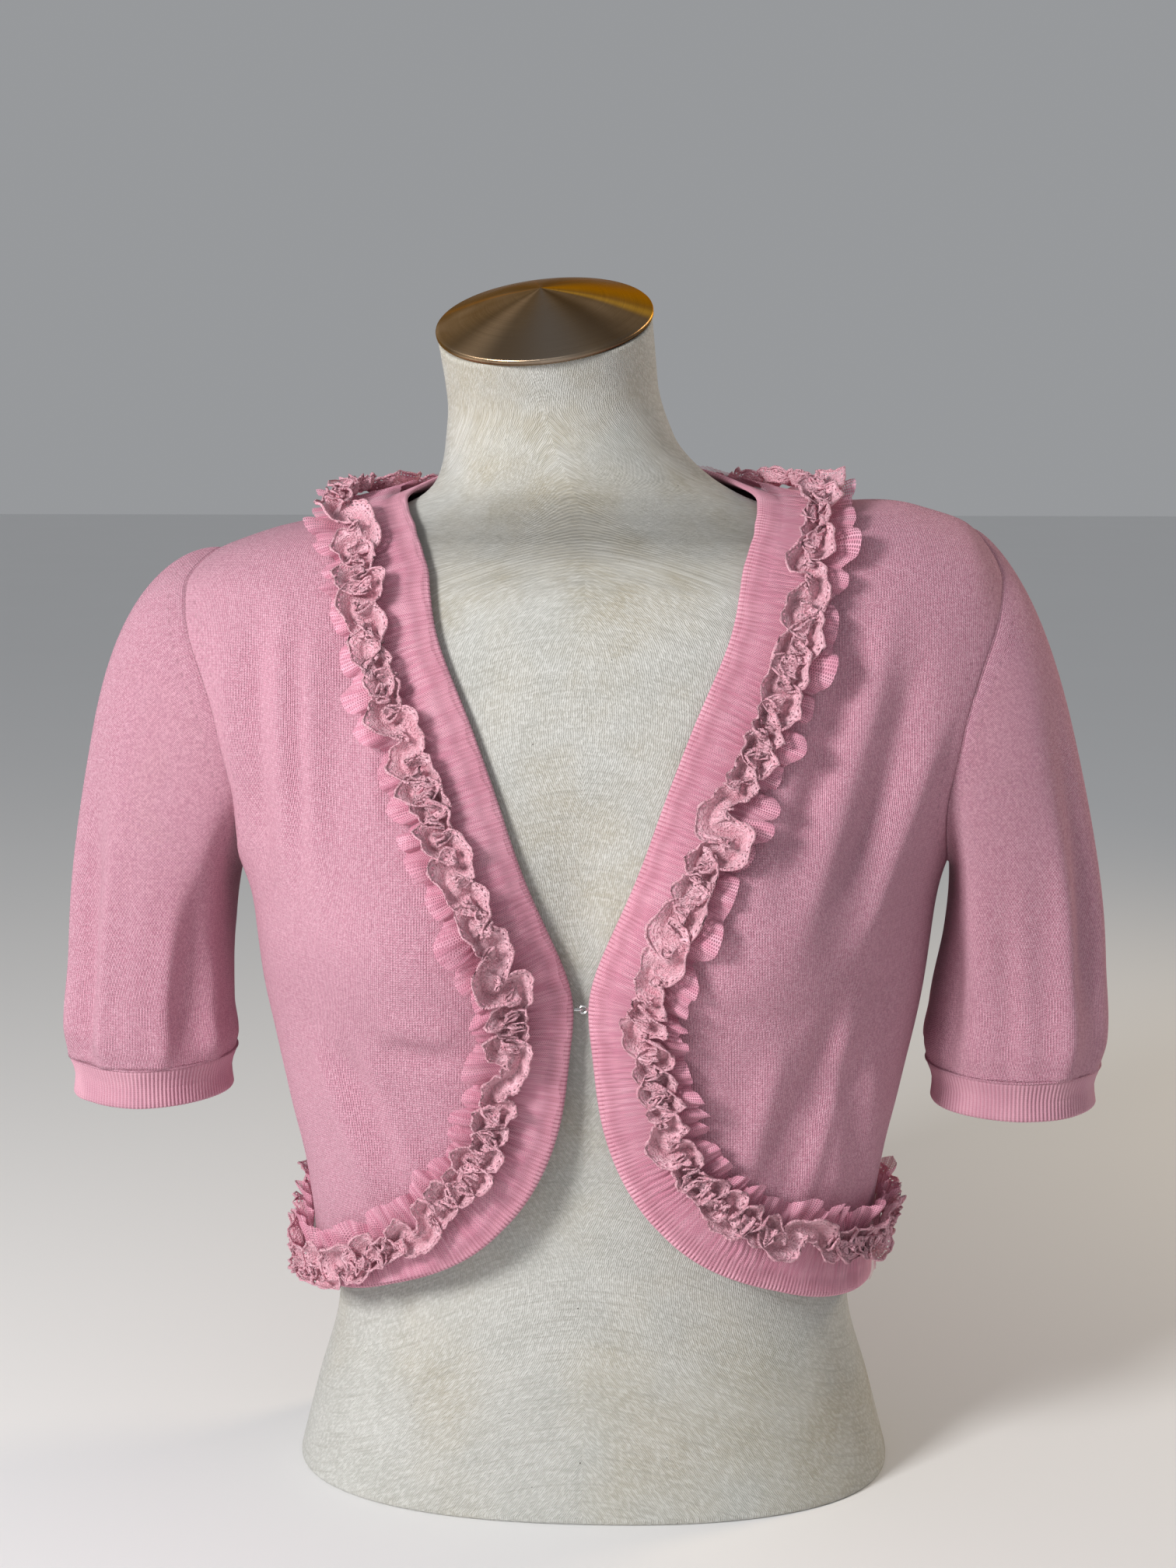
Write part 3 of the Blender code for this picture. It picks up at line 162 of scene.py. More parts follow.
# Largest folds in front view. Each row: side, x and z of its start, x and z of its end,
# half width of the crease, height
FOLDS = (
    (1, 0.150, 0.420, 0.085, 0.290, 0.0080, -0.0030),
    (1, 0.172, 0.400, 0.108, 0.270, 0.0085, -0.0034),
    (1, 0.178, 0.350, 0.135, 0.235, 0.0080, -0.0026),
    (1, 0.128, 0.240, 0.092, 0.155, 0.0085, -0.0034),
    (1, 0.118, 0.235, 0.122, 0.150, 0.0075, 0.0026),
    (-1, 0.155, 0.450, 0.150, 0.310, 0.0070, -0.0022),
    (-1, 0.120, 0.440, 0.118, 0.315, 0.0070, -0.0020),
    (-1, 0.098, 0.440, 0.096, 0.330, 0.0070, 0.0020),
    (-1, 0.080, 0.430, 0.085, 0.340, 0.0065, -0.0020),
    (-1, 0.120, 0.240, 0.060, 0.165, 0.0085, -0.0026),
    (-1, 0.135, 0.225, 0.095, 0.150, 0.0080, 0.0020),
)
BACK_FOLDS = (
    (1, 0.165, 0.410, 0.120, 0.280, 0.0090, -0.0026),
    (-1, 0.165, 0.410, 0.120, 0.280, 0.0090, -0.0026),
    (1, 0.045, 0.240, 0.050, 0.160, 0.0090, -0.0024),
    (-1, 0.060, 0.250, 0.055, 0.165, 0.0090, -0.0024),
    (1, 0.000, 0.250, 0.000, 0.165, 0.0090, 0.0022),
)

# Armhole and sleeve
ARMHOLE_FRONT_TURN = 34.0
ARMHOLE_BACK_TURN = 32.0
SLEEVE_END_Y = -0.0040
SLEEVE_END_Z = 0.2095
SLEEVE_HALF_DEPTH = 0.0485
CUFF_TAPER = 0.0020
# Where each side's sleeve ends: x of its centre, half width
SLEEVE_ENDS = {1: (0.2115, 0.0430), -1: (0.2258, 0.0420)}
# How the sleeve sets off from the armhole and how it arrives at the cuff. Each row: turn in
# degrees, x, y and z of setting off, x and z of arriving
SLEEVE_WAYS = {
    1: ((0.0, 0.110, 0.0, -0.045, -0.030, -0.250),
        (90.0, 0.060, -0.012, -0.085, -0.010, -0.170),
        (180.0, 0.034, 0.0, -0.008, 0.000, -0.120)),
    -1: ((0.0, 0.205, 0.0, 0.010, 0.022, -0.250),
         (90.0, 0.085, -0.014, -0.080, -0.005, -0.170),
         (180.0, 0.034, 0.0, -0.008, 0.000, -0.120)),
}
# Long folds of the sleeves. Each row: side, turn in degrees, start and end as shares of the
# length, half width in degrees, height
SLEEVE_FOLDS = (
    (-1, 52.0, 0.35, 1.05, 11.0, -0.0036),
    (-1, 92.0, 0.30, 1.05, 11.0, 0.0026),
    (-1, 128.0, 0.25, 1.00, 11.0, -0.0030),
    (-1, 240.0, 0.30, 1.00, 13.0, -0.0026),
    (1, 48.0, 0.20, 0.90, 11.0, -0.0030),
    (1, 78.0, 0.45, 1.05, 11.0, -0.0026),
    (1, 122.0, 0.25, 1.00, 12.0, 0.0024),
    (1, 250.0, 0.30, 1.00, 13.0, -0.0026),
)

# How far the form itself lies inside the body under the garment
FORM_SLACK_COLUMNS = ("height", "slack")
FORM_SLACK = ((0.0, 0.0), (0.120, 0.0008), (0.250, 0.0012), (0.420, 0.0014), (0.460, 0.0016),
              (0.480, 0.0024), (0.495, 0.0008), (0.508, 0.0), (0.600, 0.0))

# The form's rounded foot. Each row: height, share of the full width
FORM_FOOT = ((0.0, 0.985), (0.0004, 0.9925), (0.0012, 0.997), (0.003, 1.0))
# Rings of the form above its foot: lowest, highest and count
FORM_BODY = (0.006, 0.440, 90)
FORM_SHOULDERS = (0.443, 0.500, 34)
NECK_RINGS = 30

# Neck of the form and its metal cap
NECK_BEND_Z = 0.504
NECK_LENGTH = 0.074
NECK_TILT = math.radians(24.0)
NECK_LEAN = math.radians(5.0)
NECK_SHIFT_COLUMNS = ("height", "shift")
NECK_SHIFTS = ((0.455, 0.0), (0.472, -0.0010), (0.485, -0.0036), (0.495, -0.0070), (0.505, -0.0115),
               (0.520, -0.0165), (0.545, -0.0192), (0.580, -0.0197))
CAP_RADIUS = 0.0530
CAP_HEIGHT = 0.0185
CAP_LIP = 0.0030

# Fine cloth detail
FINE_WALL = 0.0011
RIB_PITCH = 0.0021
RIB_RELIEF = 0.00042
BAND_RIM = 0.0010
BAND_RIM_WAVE = 0.00022
# The band's cross-section. Each row: distance from the edge, lift, share of the ribs' relief
BAND_LAYERS = (
    (0.0126, -0.0001, 0.6),
    (0.0105, 0.0001, 1.0),
    (0.0075, 0.0002, 1.0),
    (0.0045, 0.0002, 1.0),
    (0.0020, 0.0001, 1.0),
    (0.0007, -0.0002, 1.0),
    (0.0000, -0.0010, 0.8),
    (0.0007, -0.0019, 0.2),
    (0.0060, -BAND_WALL, 0.0),
    (0.0126, -BAND_WALL, 0.0),
)
CUFF_PITCH = 0.0025
CUFF_RELIEF = 0.00028
CUFF_WAIST = 0.0010
CUFF_WAVER = 0.0004
CUFF_ROLL = 0.0007
CUFF_ROLL_FROM = 0.97
CUFF_RIB_START = 0.1
CUFF_INNER_RELIEF = 0.3
CUFF_WALL_SHARE = 0.9
# Where the cuff's rings lie, as shares of its height
CUFF_LEVELS = (0.0, 0.04, 0.12, 0.3, 0.5, 0.7, 0.86, 0.95, 1.0)
# The cord at the cuff's seam: how far out it lies, and its thickness against other seams
WELT_LIFT = 0.0003
WELT_CORD = 1.15
# The sleeve swells a little above its cuff. Its place is in shares of the sleeve's length
SLEEVE_PUFF = 0.0016
PUFF_FROM = 0.80
PUFF_RISE = 0.12
PUFF_FALL = 0.07
FOLD_END_FADE = 0.15
FINE_FOLD_END_FADE = 0.12
SEAM_DIP = 0.0002
SEAM_HALF_WIDTH = 0.0018
SEAM_CORD = 0.00048
# How deep the cord lies in the seam, as a share of its radius
SEAM_SINK = 0.35
SEAM_FLAT = 0.012
KNIT_UNEVEN = 0.00016
WALE = 0.00150
COURSE = 0.001200
MARK_DISTANCE = 0.0085
MARK_SPACING = 0.0072
TULLE_CELL = 0.00088
# Distances from the edge between which the net turns from sheer to full
NET_SHEER = (0.0075, 0.0140)
PINHOLE_PITCH = 0.0019
PINHOLE_ROW = 0.78
PICOT_DEPTH = 0.0009
COVER_WALE = 0.0021
COVER_COURSE = 0.0018
COVER_WAVER = 0.0020
PUCKER_PITCH = 0.0030
PUCKER_HEIGHT = 0.00085
BUNCH_PITCH = 0.0085
BUNCH_HEIGHT = 0.0010
RUFFLE_PITCH = 0.0052
RUFFLE_HEIGHT = 0.0009
PETAL_PITCH = 0.0165
PETAL_CURL = 0.0019
PETAL_REACH = 0.0026
PETAL_HEIGHT = 0.0028
PETAL_SKEW = 0.0006
PETAL_SHORTENING = 0.0010
INNER_WAVE = 0.0007
OUTER_WAVE = 0.0018
STITCH_REACH = 0.011
NET_LEAST = 0.0020
CURL_PITCH = 0.0176
HEM_DROP = 0.0140
# Slow swings in the spacing of the trim's waves. Each row: size, turns round the edge, start
TULLE_SWINGS = ((0.9, 5, 0.0), (0.7, 13, 1.0))
PUCKER_SWINGS = ((1.7, 37, 0.0), (1.1, 61, 2.0))
BUNCH_SWINGS = ((2.0, 23, 1.0), (1.2, 47, 0.0))
RUFFLE_SWINGS = ((2.0, 17, 0.0), (1.2, 43, 1.0))
PETAL_SWINGS = ((1.5, 11, 1.0), (0.8, 23, 0.3))
LACE_SWINGS = ((1.5, 7, 0.4), (1.4, 19, 2.0), (1.1, 31, 1.0))
LACE_LOOP = 0.0022
LACE_MEANDER = 0.0053
LACE_SPREAD = 0.0071
LACE_STAND = 0.0064
LACE_WANDER = 0.0010
FLUTE_SPREAD = 0.0012
FLUTE_RISE = 0.0010
FLUTE_RIPPLE = 0.0007
CRUMPLE = 0.0005
ARC_STEP = 2.0e-4
LACE_END_FADE = 0.006
# The trim never comes nearer to the open edge than this
NET_MARGIN = 0.0018
LACE_MARGIN = 0.0010
PICOT_CORD = 0.00060
PICOT_PITCH = 0.0022
PICOT_BEAD = 0.45

# Small soft folds on top of the largest ones, in the same columns
FINE_FOLDS = (
    (1, 0.149, 0.450, 0.098, 0.285, 0.0085, 0.0037),
    (1, 0.118, 0.440, 0.072, 0.300, 0.0110, 0.0031),
    (1, 0.172, 0.400, 0.124, 0.270, 0.0075, 0.0041),
    (1, 0.134, 0.440, 0.094, 0.315, 0.0070, -0.0038),
    (1, 0.161, 0.425, 0.122, 0.300, 0.0075, -0.0042),
    (1, 0.122, 0.266, 0.108, 0.195, 0.0060, -0.0034),
    (1, 0.060, 0.264, 0.116, 0.250, 0.0060, -0.0018),
    (1, 0.128, 0.270, 0.101, 0.150, 0.0065, 0.0044),
    (1, 0.095, 0.250, 0.072, 0.160, 0.0075, 0.0034),
    (1, 0.138, 0.240, 0.136, 0.140, 0.0060, 0.0034),
    (1, 0.118, 0.255, 0.086, 0.170, 0.0050, -0.0020),
    (-1, 0.173, 0.440, 0.170, 0.290, 0.0070, 0.0027),
    (-1, 0.144, 0.455, 0.141, 0.285, 0.0070, 0.0034),
    (-1, 0.127, 0.440, 0.124, 0.290, 0.0060, 0.0027),
    (-1, 0.157, 0.440, 0.155, 0.300, 0.0050, -0.0020),
    (-1, 0.136, 0.440, 0.134, 0.310, 0.0040, -0.0015),
    (-1, 0.116, 0.450, 0.104, 0.380, 0.0060, -0.0020),
    (-1, 0.135, 0.245, 0.098, 0.160, 0.0060, 0.0031),
    (-1, 0.108, 0.245, 0.070, 0.160, 0.0065, 0.0031),
    (-1, 0.121, 0.240, 0.084, 0.165, 0.0050, -0.0020),
    (-1, 0.055, 0.232, 0.098, 0.238, 0.0055, -0.0027),
    (-1, 0.050, 0.247, 0.100, 0.252, 0.0070, 0.0024),
)
FINE_BACK_FOLDS = (
    (1, 0.120, 0.430, 0.085, 0.330, 0.0070, -0.0012),
    (-1, 0.125, 0.435, 0.090, 0.330, 0.0070, -0.0012),
    (1, 0.080, 0.220, 0.075, 0.150, 0.0060, -0.0014),
    (-1, 0.095, 0.225, 0.090, 0.150, 0.0060, -0.0014),
    (1, 0.020, 0.215, 0.022, 0.150, 0.0060, 0.0012),
    (-1, 0.030, 0.220, 0.030, 0.150, 0.0060, -0.0010),
)
# Small folds on the sleeves, in the same columns as their long folds
FINE_SLEEVE_FOLDS = (
    (-1, 30.0, 0.45, 1.05, 8.0, 0.0032),
    (-1, 52.0, 0.40, 1.05, 8.0, -0.0026),
    (-1, 72.0, 0.35, 1.05, 8.0, 0.0038),
    (-1, 110.0, 0.40, 1.05, 8.0, 0.0035),
    (-1, 148.0, 0.45, 1.05, 8.0, 0.0032),
    (-1, 200.0, 0.50, 1.05, 8.0, -0.0032),
    (-1, 222.0, 0.40, 1.05, 8.0, 0.0029),
    (-1, 290.0, 0.50, 1.05, 9.0, -0.0029),
    (1, 30.0, 0.45, 1.05, 8.0, 0.0029),
    (1, 62.0, 0.40, 1.05, 8.0, 0.0032),
    (1, 100.0, 0.40, 1.05, 8.0, -0.0032),
    (1, 142.0, 0.40, 1.05, 8.0, -0.0026),
    (1, 205.0, 0.50, 1.05, 8.0, 0.0029),
    (1, 230.0, 0.50, 1.05, 8.0, -0.0023),
    (1, 300.0, 0.50, 1.05, 9.0, -0.0026),
)

# Colours of the surfaces. Pairs are the two ends of a mottle
KNIT_TONES = ((0.760, 0.350, 0.465), (1.000, 0.570, 0.700))
KNIT_YARN = (0.610, 0.265, 0.365)
KNIT_PATCH = (0.830, 0.450, 0.570)
# Painted shade for the grooves between the knit's stitches
KNIT_GROOVE_SHADE = (0.320, 0.085, 0.145)
KNIT_PILL = (0.82, 0.56, 0.62)
KNIT_MARK = (0.34, 0.12, 0.16)
RIB_TONES = ((0.640, 0.305, 0.390), (0.740, 0.390, 0.480))
CUFF_TONES = ((0.540, 0.275, 0.350), (0.620, 0.335, 0.410))
# Painted shade for the grooves between the ribs
RIB_GROOVE_SHADE = (0.300, 0.085, 0.125)
TULLE_TONES = ((0.800, 0.370, 0.485), (0.880, 0.470, 0.585))
TULLE_HOLE = (0.72, 0.31, 0.42)
# Painted shade for the net's pleats
TULLE_PLEAT_SHADE = (0.52, 0.17, 0.26)
LACE_TONES = ((0.930, 0.455, 0.555), (1.000, 0.590, 0.685))
LACE_THREAD = (1.0, 0.67, 0.75)
LACE_CELL = (0.56, 0.22, 0.29)
# Painted shade for the lace's crinkles and for its stitched middle
LACE_CRINKLE_SHADE = (0.46, 0.17, 0.23)
LACE_MIDDLE_SHADE = (0.52, 0.18, 0.24)
COVER_TONES = ((0.455, 0.455, 0.425), (0.410, 0.375, 0.295))
COVER_LIGHT = (0.570, 0.570, 0.545)
# Painted shade for the grooves of the cover's jersey
COVER_GROOVE_SHADE = (0.320, 0.300, 0.255)
COVER_SLUB = (0.82, 0.82, 0.79)
COVER_STREAK = (0.33, 0.32, 0.285)
COVER_SPECK = (0.10, 0.09, 0.08)
BRASS_TONES = ((0.250, 0.175, 0.110), (0.310, 0.215, 0.130))
BRASS_RING = (0.09, 0.06, 0.04)
BRASS_TINT = (0.80, 0.46, 0.20, 1.0)
WIRE_TONES = ((0.66, 0.66, 0.67), (0.84, 0.84, 0.85))
FLOOR_TONES = ((0.83, 0.83, 0.83), (0.85, 0.85, 0.85))
PINK_SHEEN = (1.0, 0.80, 0.86, 1.0)
LACE_SHEEN = (1.0, 0.84, 0.88, 1.0)
WORLD_COLOUR = (0.82, 0.84, 0.87, 1.0)

# Painted reflections on the cap's metal, dark and bright streaks and a golden glow: turn from
# the front (1 all the way round), half width, strength and colour
BRASS_PAINTED_REFLECTIONS = (
    (0.640, 0.150, 0.85, (0.240, 0.170, 0.110)),
    (0.470, 0.120, 0.80, (0.150, 0.080, 0.030)),
    (0.885, 0.050, 0.75, (0.620, 0.420, 0.250)),
    (0.800, 0.055, 0.60, (0.460, 0.310, 0.180)),
    (0.700, 0.018, 0.65, (0.520, 0.250, 0.080)),
    (0.600, 0.016, 0.50, (0.330, 0.150, 0.040)),
    (0.530, 0.014, 0.50, (0.400, 0.190, 0.055)),
    (0.020, 0.080, 0.70, (0.300, 0.250, 0.205)),
    (0.125, 0.065, 0.75, (0.120, 0.080, 0.050)),
    (0.300, 0.105, 0.95, (0.900, 0.400, 0.020)),
    (0.225, 0.024, 0.80, (1.000, 0.560, 0.100)),
    (0.400, 0.026, 0.60, (0.420, 0.180, 0.040)),
)

# Fine mesh densities
COLUMNS_FRONT = 84
ROWS_LOW = 64
ROWS_ARM = 76
COLUMNS_SHOULDER = 44
COLUMNS_NECK = 64
TOP_PULL = 4
SLEEVE_ROWS = 84
SLEEVE_COLUMNS = 132
CUFF_RIBS = 128
CUFF_ROWS = 40
STEPS_PER_RIB = 6
BAND_STEPS_PER_RIB = 5
TULLE_STEP = 0.00080
TULLE_ROWS = 26
LACE_STEP = 0.00062
LACE_ROWS = 21
FORM_COLUMNS = 180
CAP_COLUMNS = 128
TINY = 1.0e-5
WALK_STEP = 0.0020
WALK_REACH = 0.058
WALK_SPARE = 0.200
EDGE_SPAN = 0.0070
EDGE_POINTS = 1600
PANEL_EDGE_POINTS = 700
PANEL_SIDE_MARGIN = 0.06
# Distances along the edge: the shoulder lies before the first and the side seam past the second
NECK_PART_TO = 0.15
HEM_PART_FROM = 0.5
# How far the front panel's rows are evened out along the edge
EVEN_SHARE = 0.3
# Table of distances on the cloth: count of turns, then lowest, highest and count of heights
CLOTH_TABLE_TURNS = 541
CLOTH_TABLE_HEIGHTS = (0.090, 0.520, 173)
# A direction that no cord runs along
CORD_ASIDE = (0.31, 0.17, 0.93)
LEVEL = np.array([1.0, 1.0, 0.0])

# Camera and studio
CAMERA_DISTANCE = 1.25
CAMERA_TARGET = (-0.0028, 0.0, 0.347)
CAMERA_AZIMUTH = math.radians(3.3)
CAMERA_ELEVATION = math.radians(8.0)
SENSOR_HEIGHT = 36.0
LENS = 57.14
FLOOR_SIZE = 30.0
WORLD_STRENGTH = 0.38
LAMP_AIM = (0.0, 0.0, 0.33)
# Each row: name, place, size, power, colour
LAMPS = (
    ("key", (-1.08, -1.30, 1.02), 0.45, 33.0, (1.0, 0.985, 0.97)),
    ("fill", (0.4, -1.9, 0.4), 1.2, 1.5, (0.97, 0.98, 1.0)),
    ("rim", (1.15, 0.75, 0.9), 0.35, 6.5, (1.0, 0.80, 0.55)),
)


def smooth_line(xs, ys):
    """A function through the given points that never overshoots them."""
    xs = np.asarray(xs, float)
    ys = np.asarray(ys, float)
    steps = np.diff(xs)
    slopes = np.diff(ys) / steps
    tangents = np.zeros_like(ys)
    tangents[0] = slopes[0]
    tangents[-1] = slopes[-1]
    for i in range(1, len(xs) - 1):
        if slopes[i - 1] * slopes[i] > 0:
            before = 2 * steps[i] + steps[i - 1]
            after = steps[i] + 2 * steps[i - 1]
            tangents[i] = (before + after) / (before / slopes[i - 1] + after / slopes[i])

    def at(x):
        x = np.clip(np.asarray(x, float), xs[0], xs[-1])
        k = np.clip(np.searchsorted(xs, x) - 1, 0, len(steps) - 1)
        h = steps[k]
        t = (x - xs[k]) / h
        start = (1 + 2 * t) * (1 - t) ** 2 * ys[k] + t * (1 - t) ** 2 * h * tangents[k]
        end = t * t * (3 - 2 * t) * ys[k + 1] + t * t * (t - 1) * h * tangents[k + 1]
        return start + end

    return at


def smooth_step(x):
    x = np.clip(x, 0.0, 1.0)
    return x * x * (3 - 2 * x)


def unit(vectors):
    return vectors / np.linalg.norm(vectors, axis=-1, keepdims=True)


def hump(x, half_width):
    """A smooth hump, 1 in its middle."""
    return np.exp(-((x / half_width) ** 2))


def soft_excess(value, softness):
    """The value where it is above 0 and 0 below, with a soft bend between them."""
    return softness * np.log1p(np.exp(np.clip(value / softness, -40, 40)))


def run_along(points, axis=0):
    """Distance along one axis of a path or grid of points, from 0 at its start."""
    steps = np.linalg.norm(np.diff(points, axis=axis), axis=-1)
    start = np.zeros_like(np.take(steps, [0], axis))
    return np.concatenate([start, np.cumsum(steps, axis=axis)], axis=axis)


def column(table, columns, name):
    return [row[columns.index(name)] for row in table]


def section_lines(table, columns):
    heights = column(table, columns, "height")
    return {c: smooth_line(heights, column(table, columns, c)) for c in columns[1:]}


BODY_LINES = section_lines(BODY, BODY_COLUMNS)
EASE_LINES = section_lines(EASE, EASE_COLUMNS)
FORM_SLACK_LINE = section_lines(FORM_SLACK, FORM_SLACK_COLUMNS)["slack"]
NECK_SHIFT_LINE = section_lines(NECK_SHIFTS, NECK_SHIFT_COLUMNS)["shift"]


def body(turn, z):
    """A point of the bare body. The turn is 0 in front, +90 degrees at +X and 180 behind."""
    s, c = np.sin(turn), np.cos(turn)
    square = (np.abs(s) ** BODY_SQUARENESS + np.abs(c) ** BODY_SQUARENESS) ** (1 / BODY_SQUARENESS)
    x = BODY_LINES["half_width"](z) * s / square
    depth = np.where(c > 0, BODY_LINES["front_depth"](z), BODY_LINES["back_depth"](z))
    y = -depth * c / square
    across = (np.abs(x) - BUST_SPREAD) / BUST_HALF_WIDTH
    up = (z - BUST_HEIGHT) / BUST_HALF_HEIGHT
    bust = np.exp(-(across**2) - up**2) * smooth_step(c / square / BUST_FACING)
    raised = smooth_step((x - RAISED_FROM_X) / (RAISED_FULL_X - RAISED_FROM_X))
    raised = raised * smooth_step((RAISED_TO_X - x) / (RAISED_TO_X - RAISED_FADE_X))
    raised = raised * smooth_step((z - RAISED_FROM_Z) / (RAISED_FULL_Z - RAISED_FROM_Z))
    return np.stack([x + NECK_SHIFT_LINE(z), y - BUST_DEPTH * bust, z + RAISED_HEIGHT * raised], -1)


def normals_of(surface, turn, z):
    """Outward normals of a surface given as a function of turn and height."""
    along = surface(turn + SLIGHT, z) - surface(turn - SLIGHT, z)
    up = surface(turn, z + SLIGHT) - surface(turn, z - SLIGHT)
    return unit(np.cross(along, up))


def crease(x, z, fold):
    """Height of one soft fold at a point in front or back view."""
    side, x0, z0, x1, z1, half_width, height = fold
    x0, x1 = side * x0, side * x1
    dx, dz = x1 - x0, z1 - z0
    length = math.hypot(dx, dz)
    along = ((x - x0) * dx + (z - z0) * dz) / length**2
    across = ((x - x0) * dz - (z - z0) * dx) / length
    fade = smooth_step(along / FOLD_FADE) * smooth_step((1 - along) / FOLD_FADE)
    return height * fade * hump(across, half_width)


def fold_relief(points, turn, z, front, back):
    """Height of all folds of the front and of the back at points of the garment."""
    relief = np.zeros_like(turn)
    for folds, facing in ((front, np.cos(turn)), (back, -np.cos(turn))):
        for fold in folds:
            relief += crease(points[..., 0], z, fold) * smooth_step(facing / FOLD_FACING)
    return relief


def ease_at(turn, z):
    """How far the garment's outer face stands off the form."""
    c = np.cos(turn)
    facing = smooth_step(np.abs(c))
    middle = np.where(c > 0, EASE_LINES["front"](z), EASE_LINES["back"](z))
    return EASE_LINES["side"](z) * (1 - facing) + middle * facing


def garment_smooth(turn, z):
    """The garment's outer face without its folds."""
    return body(turn, z) + normals_of(body, turn, z) * ease_at(turn, z)[..., None]


def garment(turn, z):
    """The garment's outer face with its largest folds."""
    points = garment_smooth(turn, z)
    relief = np.maximum(fold_relief(points, turn, z, FOLDS, BACK_FOLDS), -FOLD_DEPTH)
    ease = ease_at(turn, z)
    kept = LEAST_EASE + soft_excess(ease + relief - LEAST_EASE, LEAST_EASE_SOFTNESS)
    kept = np.where(np.abs(relief) > FLAT, kept, ease)
    return points + normals_of(body, turn, z) * (kept - ease)[..., None]


def lifted(turn, z, lift):
    """A point on a layer that lies the given distance outside the garment's face."""
    return garment(turn, z) + normals_of(garment_smooth, turn, z) * np.asarray(lift)[..., None]


def turn_at_x(x, z):
    """The turn at which the garment's front reaches the given distance from the middle."""
    turns = np.radians(np.linspace(0, 90, 181))
    reach = garment_smooth(turns, np.full_like(turns, z))[:, 0]
    reach = np.maximum.accumulate(reach)
    return float(np.interp(x, reach, turns))


def natural_spline(knots, values):
    """A smooth curve through all values, as a function of the knot position."""
    count = len(knots)
    gaps = np.diff(knots)
    matrix = np.zeros((count, count))
    right = np.zeros(count)
    matrix[0, 0] = matrix[-1, -1] = 1.0
    for i in range(1, count - 1):
        matrix[i, i - 1 : i + 2] = gaps[i - 1], 2 * (gaps[i - 1] + gaps[i]), gaps[i]
        rise = (values[i + 1] - values[i]) / gaps[i] - (values[i] - values[i - 1]) / gaps[i - 1]
        right[i] = 6 * rise
    bends = np.linalg.solve(matrix, right)

    def at(u):
        k = np.clip(np.searchsorted(knots, u) - 1, 0, count - 2)
        h = gaps[k]
        a = (knots[k + 1] - u) / h
        b = (u - knots[k]) / h
        bend = ((a**3 - a) * bends[k] + (b**3 - b) * bends[k + 1]) * h * h / 6
        return a * values[k] + b * values[k + 1] + bend

    return at


def make_open_edge():
    """The right half of the garment's open edge, as turn and height by arc length.

    It runs from the middle of the back neck, down the front and round to the middle
    of the back hem. Mirrored, it is one closed loop.
    """
    turns = [math.radians(t) for t, _ in BACK_NECK_EDGE]
    heights = [z for _, z in BACK_NECK_EDGE]
    for x, z in FRONT_EDGE:
        turns.append(turn_at_x(x, z))
        heights.append(z)
    for turn, z in BACK_HEM_EDGE:
        turns.append(math.radians(turn))
        heights.append(z)
    turns, heights = np.array(turns), np.array(heights)
    points = garment_smooth(turns, heights)
    knots = run_along(points)
    mirrored_knots = np.concatenate([-knots[:0:-1], knots, 2 * knots[-1] - knots[-2::-1]])
    mirrored_turns = np.concatenate([2 * math.pi - turns[:0:-1], turns, 2 * math.pi - turns[-2::-1]])
    mirrored_heights = np.concatenate([heights[:0:-1], heights, heights[-2::-1]])
    turn_line = natural_spline(mirrored_knots, mirrored_turns)
    height_line = natural_spline(mirrored_knots, mirrored_heights)
    fine = np.linspace(0, knots[-1], EDGE_POINTS)
    turns, heights = turn_line(fine), height_line(fine)
    return run_along(garment_smooth(turns, heights)), turns, heights


EDGE_ARC, EDGE_TURN, EDGE_HEIGHT = make_open_edge()
EDGE_HALF = float(EDGE_ARC[-1])
SIDE_TURN = math.radians(90.0)


def edge_at(arc):
    """Turn and height of the open edge, all round the closed loop, and the side it is on."""
    arc = np.mod(np.asarray(arc, float), 2 * EDGE_HALF)
    side = np.where(arc <= EDGE_HALF, 1.0, -1.0)
    folded = np.where(arc <= EDGE_HALF, arc, 2 * EDGE_HALF - arc)
    turn = np.interp(folded, EDGE_ARC, EDGE_TURN) * side
    return turn, np.interp(folded, EDGE_ARC, EDGE_HEIGHT)


def walk(arc, widths):
    """Turn and height reached by walking from the open edge across the garment.

    Each arc position gets its own line of points at the given distances from the edge.
    """
    arc = np.asarray(arc, float)
    widths = np.asarray(widths, float)
    turn, z = edge_at(arc)
    ahead = garment_smooth(*edge_at(arc + EDGE_SPAN)) - garment_smooth(*edge_at(arc - EDGE_SPAN))
    across = unit(np.cross(normals_of(garment_smooth, turn, z), ahead))
    steps = int(math.ceil(widths.max() / WALK_STEP)) + 1
    turns, heights = [turn], [z]
    for _ in range(steps):
        d_turn = garment_smooth(turn + SLIGHT, z) - garment_smooth(turn - SLIGHT, z)
        d_z = garment_smooth(turn, z + SLIGHT) - garment_smooth(turn, z - SLIGHT)
        d_turn, d_z = d_turn / (2 * SLIGHT), d_z / (2 * SLIGHT)
        pairs = ((d_turn, d_turn), (d_turn, d_z), (d_z, d_z), (across, d_turn), (across, d_z))
        tt, tz, zz, bt, bz = [(a * b).sum(-1) for a, b in pairs]
        det = tt * zz - tz * tz
        turn_step = (bt * zz - bz * tz) / det
        z_step = (bz * tt - bt * tz) / det
        moved = d_turn * turn_step[:, None] + d_z * z_step[:, None]
        scale = WALK_STEP / np.linalg.norm(moved, axis=-1)
        turn = turn + turn_step * scale
        z = z + z_step * scale
        across = unit(moved)
        turns.append(turn)
        heights.append(z)
    k = np.minimum((widths / WALK_STEP).astype(int), steps - 1)
    part = (widths / WALK_STEP - k)[:, None]
    paths = [np.stack(turns), np.stack(heights)]
    turn, z = [path[k] * (1 - part) + path[k + 1] * part for path in paths]
    return turn.T, z.T


